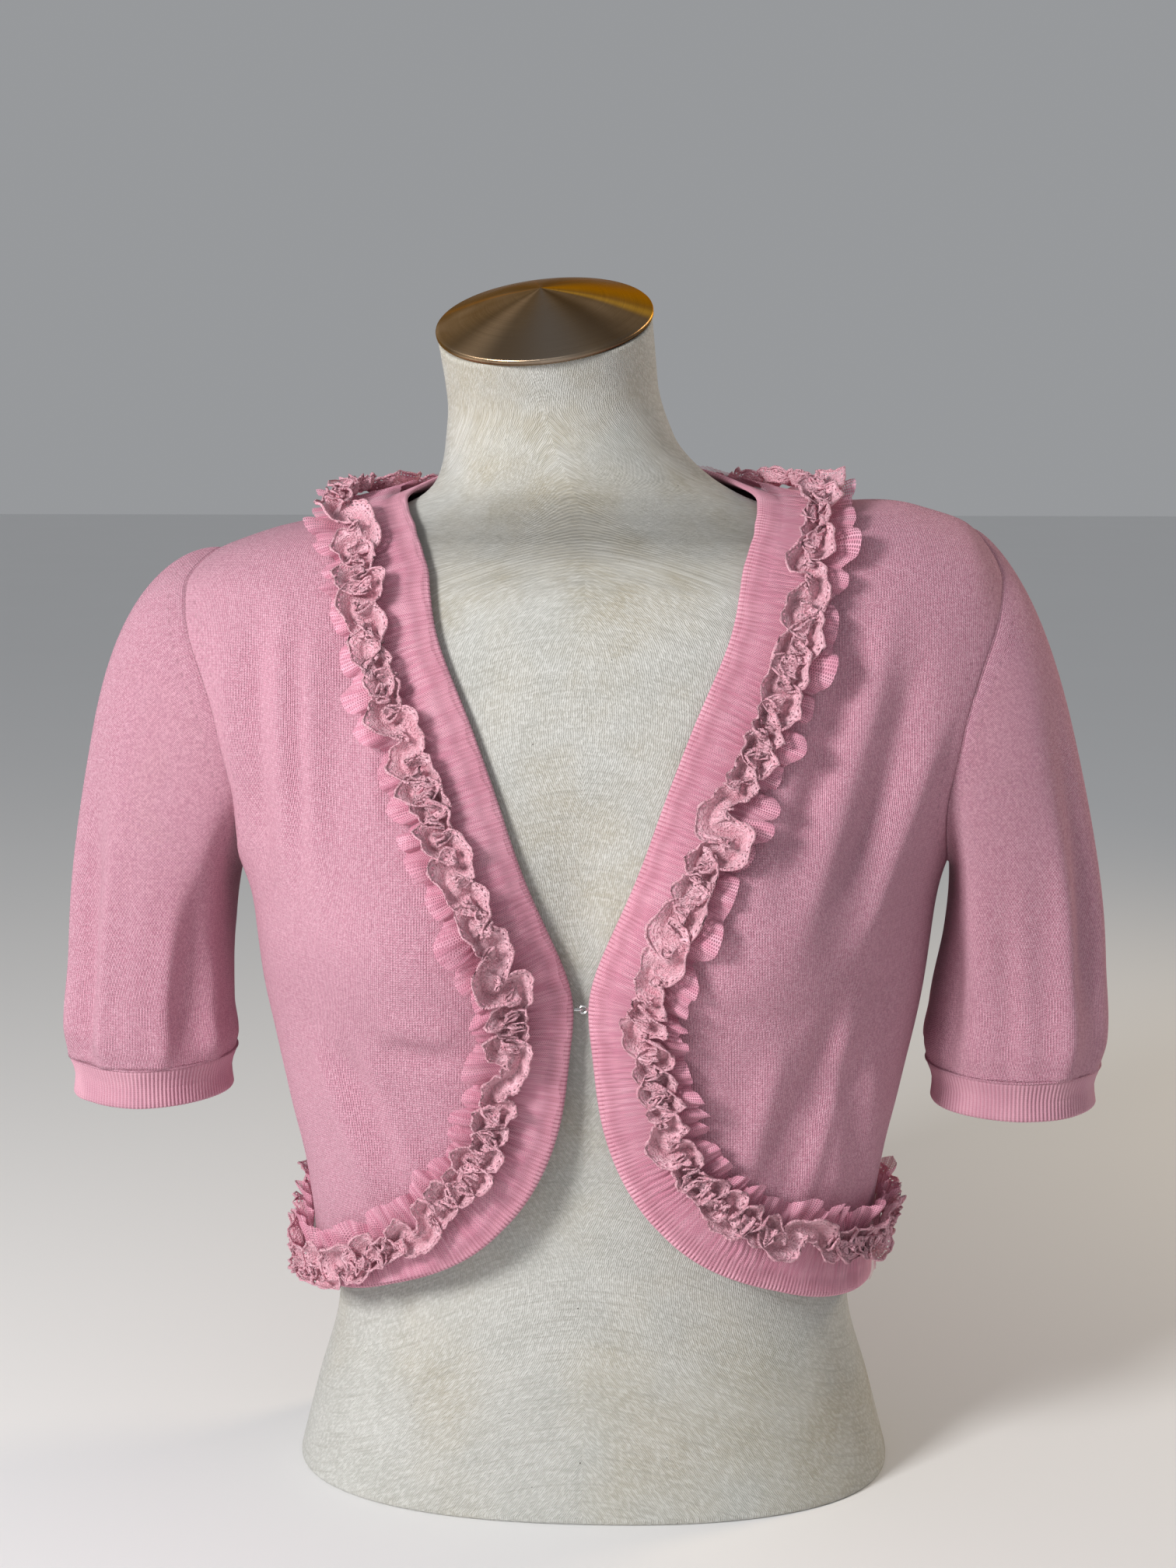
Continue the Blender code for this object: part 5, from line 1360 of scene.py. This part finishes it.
def lace_middle(arc):
    """The line where the lace is stitched down, meandering in loops along the edge."""
    loop = loop_angle(arc)
    phase = edge_waves(arc, CURL_PITCH, LACE_SWINGS)
    later = edge_waves(arc + ARC_STEP, CURL_PITCH, LACE_SWINGS)
    rate = (later - phase) / ARC_STEP * CURL_PITCH / (2 * math.pi)
    bold = 1.0 + 0.25 * np.sin(17 * loop + 0.5) + 0.20 * np.sin(41 * loop)
    bold = bold * np.clip(1 / rate, 0.55, 1.5)
    at = arc - LACE_LOOP * bold * np.sin(2 * phase)
    middle = TULLE_STITCH + LACE_WANDER * np.sin(phase * 0.5 + 0.6)
    return at, middle + LACE_MEANDER * bold * np.sin(phase), phase


def fine_lace(arc, across):
    """Where a point of the gathered lace lies: arc position, distance and lift.

    Both halves of the ribbon stand up from its stitched, meandering middle.
    """
    loop = loop_angle(arc)
    before, after = lace_middle(arc - ARC_STEP), lace_middle(arc + ARC_STEP)
    at, middle, phase = lace_middle(arc)
    ahead, aside = after[0] - before[0], after[1] - before[1]
    length = np.hypot(ahead, aside)
    side = np.sign(across)
    out = np.abs(across)
    bend = -side * np.sin(phase)
    # The ribbon opens on the outside of each bend and crowds together on the inside
    spread = 1.0 + 0.20 * np.maximum(bend, 0) - 0.42 * np.maximum(-bend, 0)
    flute = 3 * phase + 2.1 * side + 1.4 * np.sin(13 * loop + side)
    spread = spread * (1.0 + 0.16 * np.sin(27 * loop + 1.5 * side) + 0.10 * np.sin(53 * loop))
    fluting = FLUTE_SPREAD * np.sin(flute) + FLUTE_RIPPLE * np.sin(2.3 * flute + 1.0)
    away = across * LACE_SPREAD * spread + side * out**2 * fluting
    at = at - away * aside / length + FLUTE_RIPPLE * out**2 * np.sin(flute * 0.8 + 2.0)
    width = middle + away * ahead / length
    # Where it is crowded it stands up higher
    stand = 0.86 + 0.14 * np.cos(phase + side) + 0.30 * (1.0 - spread)
    stand = stand + 0.10 * np.sin(23 * loop + side)
    crumple = CRUMPLE * np.sin(900 * at + 5 * across) * np.sin(700 * width + 60 * loop)
    rise = FLUTE_RISE * np.cos(flute + 0.7) + FLUTE_RIPPLE * np.sin(2.3 * flute)
    lift = LACE_LIFT + LACE_STAND * out**0.95 * stand + rise * out**2 + crumple * out
    return at, width, lift


def build_lace(strip, material):
    """The gathered lace ribbon, stitched down its middle, and the picot cords on its borders."""
    arc, across = strip_grid(strip, LACE_STEP, np.linspace(-1, 1, LACE_ROWS))
    at, width, lift = fine_lace(arc, across)
    start, end = STRIPS[strip]
    fade = smooth_step(np.minimum(arc - start, end - arc) / LACE_END_FADE)
    at = np.clip(arc + (at - arc) * fade, start, end)
    turn, z = trim_points(at, np.maximum(trim_width(at, width), LACE_MARGIN))
    grid = lifted(turn, z, lift + np.maximum(net_lift(at, width), tulle_lift(at, width)))
    along = run_along(grid, 1).mean(0)[None, :] + 0 * arc
    spot = np.stack([along, across * LACE_HALF_WIDTH], -1)
    ribbon = grid_object("ribbon_" + strip, grid, material, {"cloth": spot})
    place(ribbon, "lace_" + strip)
    for row, word in ((0, "inner"), (-1, "outer")):
        turns = run_along(grid[row]) / PICOT_PITCH
        bead = PICOT_CORD * (1 + PICOT_BEAD * np.cos(2 * math.pi * turns))
        cord = cord_tube("picot_" + word + "_" + strip, grid[row], bead, material, False, 5)
        place(cord, None)


def build_form(material):
    """The dress form's covered torso and neck, as one smooth closed body."""
    turn = np.linspace(0, 2 * math.pi, FORM_COLUMNS, endpoint=False)
    turn = turn + 0.2 * np.sin(2 * turn)
    levels = [[z for z, _ in FORM_FOOT], np.linspace(*FORM_BODY), np.linspace(*FORM_SHOULDERS)]
    rings = [form_ring(turn, np.full_like(turn, z)) for z in np.concatenate(levels)]
    for ring, (_, shrink) in zip(rings, FORM_FOOT):
        ring[:, :2] *= shrink
    rings += [neck_ring(turn, share) for share in np.linspace(0.0, 1.0, NECK_RINGS)]
    top = neck_top_centre()
    rings += [top + (rings[-1] - top) * share for share in (0.985, 0.6, 0.02)]
    base = [rings[0] * np.array([share, share, 1.0]) for share in (0.02, 0.6)]
    grid = np.stack(base + rings)
    spot = grid_place(grid)
    form = grid_object("form_cover", grid, material, {"cloth": spot}, False, True)
    place(form, "form_torso")


def build_cap(material):
    """The spun metal cap: a shallow cone with a rounded lip."""
    _, turning = neck_frame(1.0)
    centre = neck_top_centre()
    turn = np.linspace(0, 2 * math.pi, CAP_COLUMNS, endpoint=False)
    r = CAP_RADIUS
    profile = [
        (0.0004, 0.0), (r - 0.0014, 0.0), (r - 0.0005, 0.0002), (r - 0.0001, 0.0007), (r, 0.0013),
        (r, CAP_LIP - 0.0008), (r - 0.0002, CAP_LIP - 0.0002), (r - 0.0007, CAP_LIP + 0.0003),
    ]
    for share in np.linspace(0.03, 1.0, 36):
        radius = (r - 0.0007) * (1 - share) + 0.0002 * share
        crown = 0.0016 * math.sin(math.pi * share) ** 1.2
        profile.append((radius, CAP_LIP + 0.0003 + (CAP_HEIGHT - CAP_LIP - 0.0006) * share + crown))
    outward, heights = np.array(profile).T
    reach = outward[:, None]
    levels = heights[:, None] + SEAM_GAP + 0 * turn
    grid = np.stack([reach * np.sin(turn), -reach * np.cos(turn), levels], -1)
    grid = grid @ turning.T + centre
    around = np.linspace(0, 1, CAP_COLUMNS + 1)
    spot = np.stack(np.meshgrid(outward, around, indexing="ij")[::-1], -1)
    cap = grid_object("cap", grid, material, {"cloth": spot}, False, True)
    place(cap, "neck_cap")


# Materials


class Surface:
    """A Principled material and short ways to add nodes to it."""

    def __init__(self, name, roughness, metallic=0.0, sheen=0.0, tint=None):
        self.material = bpy.data.materials.new(name)
        self.material.use_nodes = True
        self.tree = self.material.node_tree
        self.shader = self.tree.nodes["Principled BSDF"]
        self.output = self.tree.nodes["Material Output"]
        self.set("Roughness", roughness)
        self.set("Metallic", metallic)
        self.set("Sheen Weight", sheen)
        self.set("Sheen Roughness", 0.45)
        self.set("Specular IOR Level", 0.5 if metallic else 0.2)
        if tint:
            self.set("Sheen Tint", tint)

    def node(self, kind, **settings):
        made = self.tree.nodes.new(kind)
        for key, value in settings.items():
            setattr(made, key, value)
        return made

    def feed(self, socket, value):
        if isinstance(value, bpy.types.NodeSocket):
            self.tree.links.new(value, socket)
        else:
            socket.default_value = value

    def set(self, name, value):
        """A value that is the same all over the surface."""
        self.shader.inputs[name].default_value = value

    def math(self, operation, a, b=0.0):
        made = self.node("ShaderNodeMath", operation=operation)
        self.feed(made.inputs[0], a)
        self.feed(made.inputs[1], b)
        return made.outputs[0]

    def plus(self, a, b):
        return self.math("ADD", a, b)

    def minus(self, a, b):
        return self.math("SUBTRACT", a, b)

    def times(self, a, b):
        return self.math("MULTIPLY", a, b)

    def over(self, a, b):
        return self.math("DIVIDE", a, b)

    def absolute(self, a):
        return self.math("ABSOLUTE", a)

    def blend(self, share, low, high):
        """A colour between two colours."""
        made = self.node("ShaderNodeMix", data_type="RGBA")
        self.feed(made.inputs[0], share)
        for socket, value in ((made.inputs[6], low), (made.inputs[7], high)):
            self.feed(socket, value if isinstance(value, bpy.types.NodeSocket) else (*value, 1.0))
        return made.outputs[2]

    def tinge(self, colour, mask, strength, other):
        """The colour, turned by a mask towards another one."""
        return self.blend(self.times(mask, strength), colour, other)

    def ramp(self, value, low, high):
        """0 below low, 1 above high, smooth between them."""
        made = self.node("ShaderNodeMapRange", interpolation_type="SMOOTHSTEP")
        self.feed(made.inputs["Value"], value)
        made.inputs["From Min"].default_value = low
        made.inputs["From Max"].default_value = high
        return made.outputs["Result"]

    def fall(self, value, low, high):
        """1 below low, 0 above high, smooth between them."""
        return self.minus(1.0, self.ramp(value, low, high))

    def place(self, name):
        """The two distances of one of the mesh's maps, in metres."""
        made = self.node("ShaderNodeUVMap", uv_map=name)
        split = self.node("ShaderNodeSeparateXYZ")
        self.feed(split.inputs[0], made.outputs[0])
        return split.outputs[0], split.outputs[1], made.outputs[0]

    def noise(self, scale, detail=3.0, roughness=0.55, vector=None, distortion=0.0):
        made = self.node("ShaderNodeTexNoise")
        if vector is None:
            vector = self.node("ShaderNodeTexCoord").outputs["Object"]
        values = {"Vector": vector, "Scale": scale, "Detail": detail, "Roughness": roughness,
                  "Distortion": distortion}
        for name, value in values.items():
            self.feed(made.inputs[name], value)
        return made.outputs["Fac"]

    def cells(self, vector, feature):
        """Distance from the borders or from the middles of irregular cells one unit wide."""
        made = self.node("ShaderNodeTexVoronoi", feature=feature)
        self.feed(made.inputs["Vector"], vector)
        made.inputs["Scale"].default_value = 1.0
        return made.outputs["Distance"]

    def stretched(self, vector, x, y):
        made = self.node("ShaderNodeMapping")
        self.feed(made.inputs["Vector"], vector)
        made.inputs["Scale"].default_value = (x, y, 1.0)
        return made.outputs[0]

    def bump(self, height, distance, strength=1.0):
        made = self.node("ShaderNodeBump")
        made.inputs["Distance"].default_value = distance
        made.inputs["Strength"].default_value = strength
        self.feed(made.inputs["Height"], height)
        return made.outputs[0]

    def finish(self, colour, normal=None):
        self.feed(self.shader.inputs["Base Color"], colour)
        if normal is not None:
            self.feed(self.shader.inputs["Normal"], normal)
        return self.material

    def wave(self, value):
        """A cosine of the value counted in turns, from 0 to 1."""
        angle = self.times(value, 2 * math.pi)
        return self.plus(self.times(self.math("COSINE", angle), 0.5), 0.5)

    def stitches(self, across, up, wale, course, slope=0.7):
        """Height of stockinette: columns of small Vs, from 0 to 1."""
        share = self.math("FRACT", self.over(across, wale))
        leg = self.absolute(self.minus(self.times(share, 2.0), 1.0))
        column = self.math("SINE", self.times(leg, math.pi))
        slant = self.plus(self.over(up, course), self.times(leg, slope))
        loop = self.plus(self.times(self.wave(slant), 0.45), 0.55)
        return self.times(column, loop)


def knit_material():
    """Fine pink stockinette with a faint pill and marks where the armholes are shaped."""
    s = Surface("knit", 0.86, sheen=0.15, tint=PINK_SHEEN)
    across, up, vector = s.place("cloth")
    away, along, _ = s.place("seam")
    stitch = s.stitches(across, up, WALE, COURSE)
    fuzz = s.noise(1400.0, 2.0)
    mottle = s.noise(900.0, 2.0, 0.6)
    yarn = s.noise(1.0, 1.0, 0.5, s.stretched(vector, 880.0, 130.0))
    patchy = s.noise(14.0, 2.0)
    tone = s.blend(s.ramp(mottle, 0.32, 0.68), *KNIT_TONES)
    tone = s.tinge(tone, s.ramp(yarn, 0.46, 0.70), 0.27, KNIT_YARN)
    tone = s.tinge(tone, s.ramp(patchy, 0.35, 0.70), 0.22, KNIT_PATCH)
    # Painted shade in the grooves between the stitches
    shaded_groove = s.blend(0.66, tone, KNIT_GROOVE_SHADE)
    colour = s.blend(s.ramp(stitch, 0.08, 0.72), shaded_groove, tone)
    colour = s.tinge(colour, s.ramp(fuzz, 0.60, 0.75), 0.25, KNIT_PILL)
    # A row of small marks runs along each armhole and side seam
    ring = s.absolute(s.minus(away, MARK_DISTANCE))
    mark = s.fall(ring, 0.0004, 0.0010)
    dash = s.ramp(s.wave(s.over(along, MARK_SPACING)), 0.70, 0.90)
    mark = s.times(mark, dash)
    colour = s.tinge(colour, mark, 0.28, KNIT_MARK)
    height = s.plus(stitch, s.times(fuzz, 0.55))
    height = s.plus(height, s.times(mottle, 1.1))
    height = s.minus(height, s.times(mark, 0.5))
    return s.finish(colour, s.bump(height, 0.00060, 1.0))


def rib_material(name, low, high, pitch, groove_shade_strength):
    """Ribbed edging or cuffs: the ribs are in the mesh, their stitches here."""
    s = Surface(name, 0.86, sheen=0.15, tint=PINK_SHEEN)
    across, up, _ = s.place("cloth")
    share = s.wave(s.over(across, pitch))
    loop = s.wave(s.over(up, COURSE * 0.9))
    fuzz = s.noise(1500.0, 2.0)
    mottle = s.noise(55.0, 3.0)
    tone = s.blend(s.ramp(mottle, 0.30, 0.72), low, high)
    # Painted shade in the grooves between the ribs, stronger on the edging than on the cuffs
    shaded_groove = s.blend(groove_shade_strength, tone, RIB_GROOVE_SHADE)
    colour = s.blend(s.ramp(share, 0.0, 0.42), shaded_groove, tone)
    height = s.plus(s.times(loop, 0.5), s.times(fuzz, 0.5))
    return s.finish(colour, s.bump(height, 0.00025, 0.7))


def see_through(s, mask):
    """The surface lets through what lies behind it where the mask is 0."""
    clear = s.node("ShaderNodeBsdfTransparent")
    made = s.node("ShaderNodeMixShader")
    s.feed(made.inputs[0], mask)
    s.tree.links.new(clear.outputs[0], made.inputs[1])
    s.tree.links.new(s.shader.outputs[0], made.inputs[2])
    s.tree.links.new(made.outputs[0], s.output.inputs["Surface"])


def net_threads(s, across, up, cell):
    """A hexagonal net: 1 on its threads and 0 in its holes."""
    k = 1.0 / cell
    total = 0.0
    for x, y in ((1.0, 0.0), (-0.5, 0.866), (-0.5, -0.866)):
        at = s.plus(s.times(across, x * k), s.times(up, y * k))
        total = s.plus(s.wave(at), total)
    return total


def tulle_material():
    """Soft pink net of small hexagonal cells."""
    s = Surface("tulle", 0.70, sheen=0.15, tint=PINK_SHEEN)
    across, up, vector = s.place("cloth")
    total = net_threads(s, across, up, TULLE_CELL)
    holes = s.ramp(total, 1.20, 1.62)
    # Pleats: the net is less see-through along them, and darker there by painted shade
    pleats_and_shade = s.ramp(s.noise(1.0, 2.0, 0.5, s.stretched(vector, 560.0, 42.0), 0.5), 0.44, 0.60)
    closed = s.times(pleats_and_shade, 0.30)
    mask = s.minus(1.0, s.times(holes, s.minus(0.68, closed)))
    thin = s.fall(up, *NET_SHEER)
    mask = s.times(mask, s.minus(1.0, s.times(thin, 0.55)))
    mottle = s.noise(60.0, 3.0)
    tone = s.blend(s.ramp(mottle, 0.30, 0.72), *TULLE_TONES)
    colour = s.blend(holes, tone, TULLE_HOLE)
    # Painted shade along the pleats
    colour = s.tinge(colour, pleats_and_shade, 0.52, TULLE_PLEAT_SHADE)
    s.finish(colour, s.bump(s.minus(2.0, total), 0.00018, 0.6))
    see_through(s, mask)
    return s.material


def lace_material():
    """Cotton lace: a fine raised network of threads, with pinholes and rows of holes."""
    s = Surface("lace", 0.88, sheen=0.12, tint=LACE_SHEEN)
    across, up, vector = s.place("cloth")
    veins = s.cells(s.stretched(vector, 620.0, 520.0), "DISTANCE_TO_EDGE")
    dots = s.cells(s.stretched(vector, 760.0, 760.0), "F1")
    from_middle = s.absolute(up)
    # A row of pinholes near each border, and patches of small round holes
    row = s.absolute(s.minus(from_middle, LACE_HALF_WIDTH * PINHOLE_ROW))
    row = s.fall(row, 0.0003, 0.0007)
    pin = s.times(row, s.ramp(s.wave(s.over(across, PINHOLE_PITCH)), 0.55, 0.80))
    region = s.ramp(s.noise(170.0, 1.0), 0.54, 0.62)
    holes = s.times(region, s.fall(dots, 0.22, 0.36))
    gap = s.math("MAXIMUM", holes, pin)
    # The borders are cut in small scallops
    picot = s.times(s.wave(s.over(across, PICOT_PITCH)), PICOT_DEPTH)
    border = s.minus(LACE_HALF_WIDTH, s.plus(from_middle, picot))
    kept = s.ramp(border, -0.0001, 0.0001)
    mask = s.times(s.minus(1.0, s.times(gap, 0.92)), kept)
    # Threads are paler than the ground and cells darker; the stitched middle gets painted shade
    threads = s.fall(veins, 0.05, 0.24)
    crinkle = s.noise(1000.0, 5.0, 0.75)
    mottle = s.noise(240.0, 4.0)
    tone = s.blend(s.ramp(mottle, 0.30, 0.72), *LACE_TONES)
    tone = s.tinge(tone, threads, 0.38, LACE_THREAD)
    cell = s.fall(threads, 0.05, 0.45)
    colour = s.tinge(tone, cell, 0.22, LACE_CELL)
    # Painted shade in the hollows of the crinkles
    colour = s.blend(s.ramp(crinkle, 0.26, 0.50), s.blend(0.24, tone, LACE_CRINKLE_SHADE), colour)
    # Painted shade along the stitched middle, the valley between the ribbon's standing halves
    middle_shade = s.fall(from_middle, 0.0006, LACE_HALF_WIDTH * 0.62)
    colour = s.tinge(colour, middle_shade, 0.26, LACE_MIDDLE_SHADE)
    height = s.plus(s.times(crinkle, 0.6), s.times(threads, 0.45))
    s.finish(colour, s.bump(height, 0.0013, 1.0))
    see_through(s, mask)
    return s.material


def cover_material():
    """The form's off-white cover: a wavy jersey with slubs, specks and faint stains."""
    s = Surface("cover", 0.9, sheen=0.15)
    across, up, vector = s.place("cloth")
    waver = s.times(s.minus(s.noise(260.0, 2.0), 0.5), COVER_WAVER)
    stitch = s.stitches(s.plus(across, waver), up, COVER_WALE, COVER_COURSE, 0.25)
    slub = s.noise(1.0, 3.0, 0.6, s.stretched(vector, 600.0, 450.0))
    streak = s.noise(1.0, 2.0, 0.5, s.stretched(vector, 40.0, 620.0))
    tinge = s.noise(11.0, 3.0, 0.6)
    shade = s.noise(45.0, 4.0)
    tone = s.blend(s.ramp(tinge, 0.42, 0.66), *COVER_TONES)
    tone = s.tinge(tone, s.ramp(shade, 0.30, 0.70), 0.5, COVER_LIGHT)
    # Painted shade in the grooves between the jersey's stitches
    shaded_groove = s.blend(0.34, tone, COVER_GROOVE_SHADE)
    colour = s.blend(s.ramp(stitch, 0.05, 0.6), shaded_groove, tone)
    colour = s.tinge(colour, s.ramp(slub, 0.42, 0.64), 0.30, COVER_SLUB)
    colour = s.tinge(colour, s.ramp(streak, 0.52, 0.70), 0.32, COVER_STREAK)
    speck = s.ramp(s.noise(420.0, 1.0), 0.80, 0.83)
    colour = s.tinge(colour, speck, 0.8, COVER_SPECK)
    height = s.plus(s.times(stitch, 0.40), s.times(slub, 0.60))
    return s.finish(colour, s.bump(height, 0.00050, 1.0))


def brass_material():
    """Spun brass: fine rings, painted streaks of reflection, small pits and a darker tarnish."""
    s = Surface("brass", 0.27, metallic=1.0)
    around, _, vector = s.place("cloth")
    rings = s.noise(1.0, 4.0, 0.7, s.stretched(vector, 3.0, 5200.0))
    tarnish = s.noise(26.0, 4.0)
    pits = s.noise(520.0, 2.0)
    tone = s.blend(s.ramp(tarnish, 0.35, 0.70), *BRASS_TONES)
    # Painted reflections: dark and bright streaks and a golden glow round the cap
    for centre, half, strength, colour in BRASS_PAINTED_REFLECTIONS:
        turned = s.math("FRACT", s.plus(around, 1.5 - centre))
        off = s.absolute(s.minus(turned, 0.5))
        share = s.times(s.fall(off, 0.0, half), strength)
        tone = s.blend(share, tone, colour)
    tone = s.tinge(tone, s.ramp(rings, 0.40, 0.65), 0.30, BRASS_RING)
    height = s.plus(rings, s.times(s.ramp(pits, 0.62, 0.70), 1.2))
    s.set("Anisotropic", 0.75)
    s.set("Specular Tint", BRASS_TINT)
    tangent = s.node("ShaderNodeTangent", direction_type="UV_MAP", uv_map="cloth")
    s.feed(s.shader.inputs["Tangent"], tangent.outputs[0])
    rough = s.plus(0.22, s.times(s.ramp(tarnish, 0.30, 0.75), 0.14))
    s.feed(s.shader.inputs["Roughness"], rough)
    return s.finish(tone, s.bump(height, 0.00006, 0.5))


def wire_material():
    s = Surface("wire", 0.22, metallic=1.0)
    return s.finish(s.blend(s.ramp(s.noise(900.0), 0.4, 0.6), *WIRE_TONES))


# Stage


def aim(made, way):
    """Turns a lamp or camera to look along a direction."""
    made.rotation_euler = way.to_track_quat("-Z", "Y").to_euler()


def build_stage():
    """A plain pale floor, soft studio lamps and the camera at the photograph's angle."""
    bpy.ops.mesh.primitive_plane_add(size=FLOOR_SIZE)
    floor = bpy.context.object
    floor.name = "floor"
    s = Surface("floor_paint", 0.9)
    floor.data.materials.append(s.finish(s.blend(s.noise(2.0), *FLOOR_TONES)))
    world = bpy.data.worlds.new("studio")
    bpy.context.scene.world = world
    world.use_nodes = True
    backdrop = world.node_tree.nodes["Background"]
    backdrop.inputs["Color"].default_value = WORLD_COLOUR
    backdrop.inputs["Strength"].default_value = WORLD_STRENGTH
    bpy.context.scene.view_settings.view_transform = "Standard"
    for name, spot, size, power, colour in LAMPS:
        light = bpy.data.lights.new(name, "AREA")
        light.size = size
        light.energy = power
        light.color = colour
        lamp = add_object(name, light)
        lamp.location = spot
        aim(lamp, Vector(LAMP_AIM) - Vector(spot))
    away = Vector((
        math.sin(CAMERA_AZIMUTH) * math.cos(CAMERA_ELEVATION),
        -math.cos(CAMERA_AZIMUTH) * math.cos(CAMERA_ELEVATION),
        math.sin(CAMERA_ELEVATION),
    ))
    camera = bpy.data.cameras.new("camera")
    camera.sensor_fit = "VERTICAL"
    camera.sensor_height = SENSOR_HEIGHT
    camera.lens = LENS
    holder = add_object("camera", camera)
    holder.location = Vector(CAMERA_TARGET) + away * CAMERA_DISTANCE
    aim(holder, -away)
    bpy.context.scene.camera = holder


def main():
    knit, tulle, lace = knit_material(), tulle_material(), lace_material()
    rib = rib_material("rib", *RIB_TONES, RIB_PITCH, 0.62)
    cuff = rib_material("cuff", *CUFF_TONES, CUFF_PITCH, 0.35)
    build_form(cover_material())
    build_cap(brass_material())
    build_panels(knit)
    build_sleeve(1, "right", knit, cuff)
    build_sleeve(-1, "left", knit, cuff)
    for strip in STRIPS:
        build_band(strip, rib)
        build_tulle(strip, tulle)
        build_lace(strip, lace)
    wire = wire_material()
    for node in ("clasp_eye", "clasp_hook"):
        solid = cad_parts[node]
        solid.material_slots[0].material = wire
    build_stage()


main()
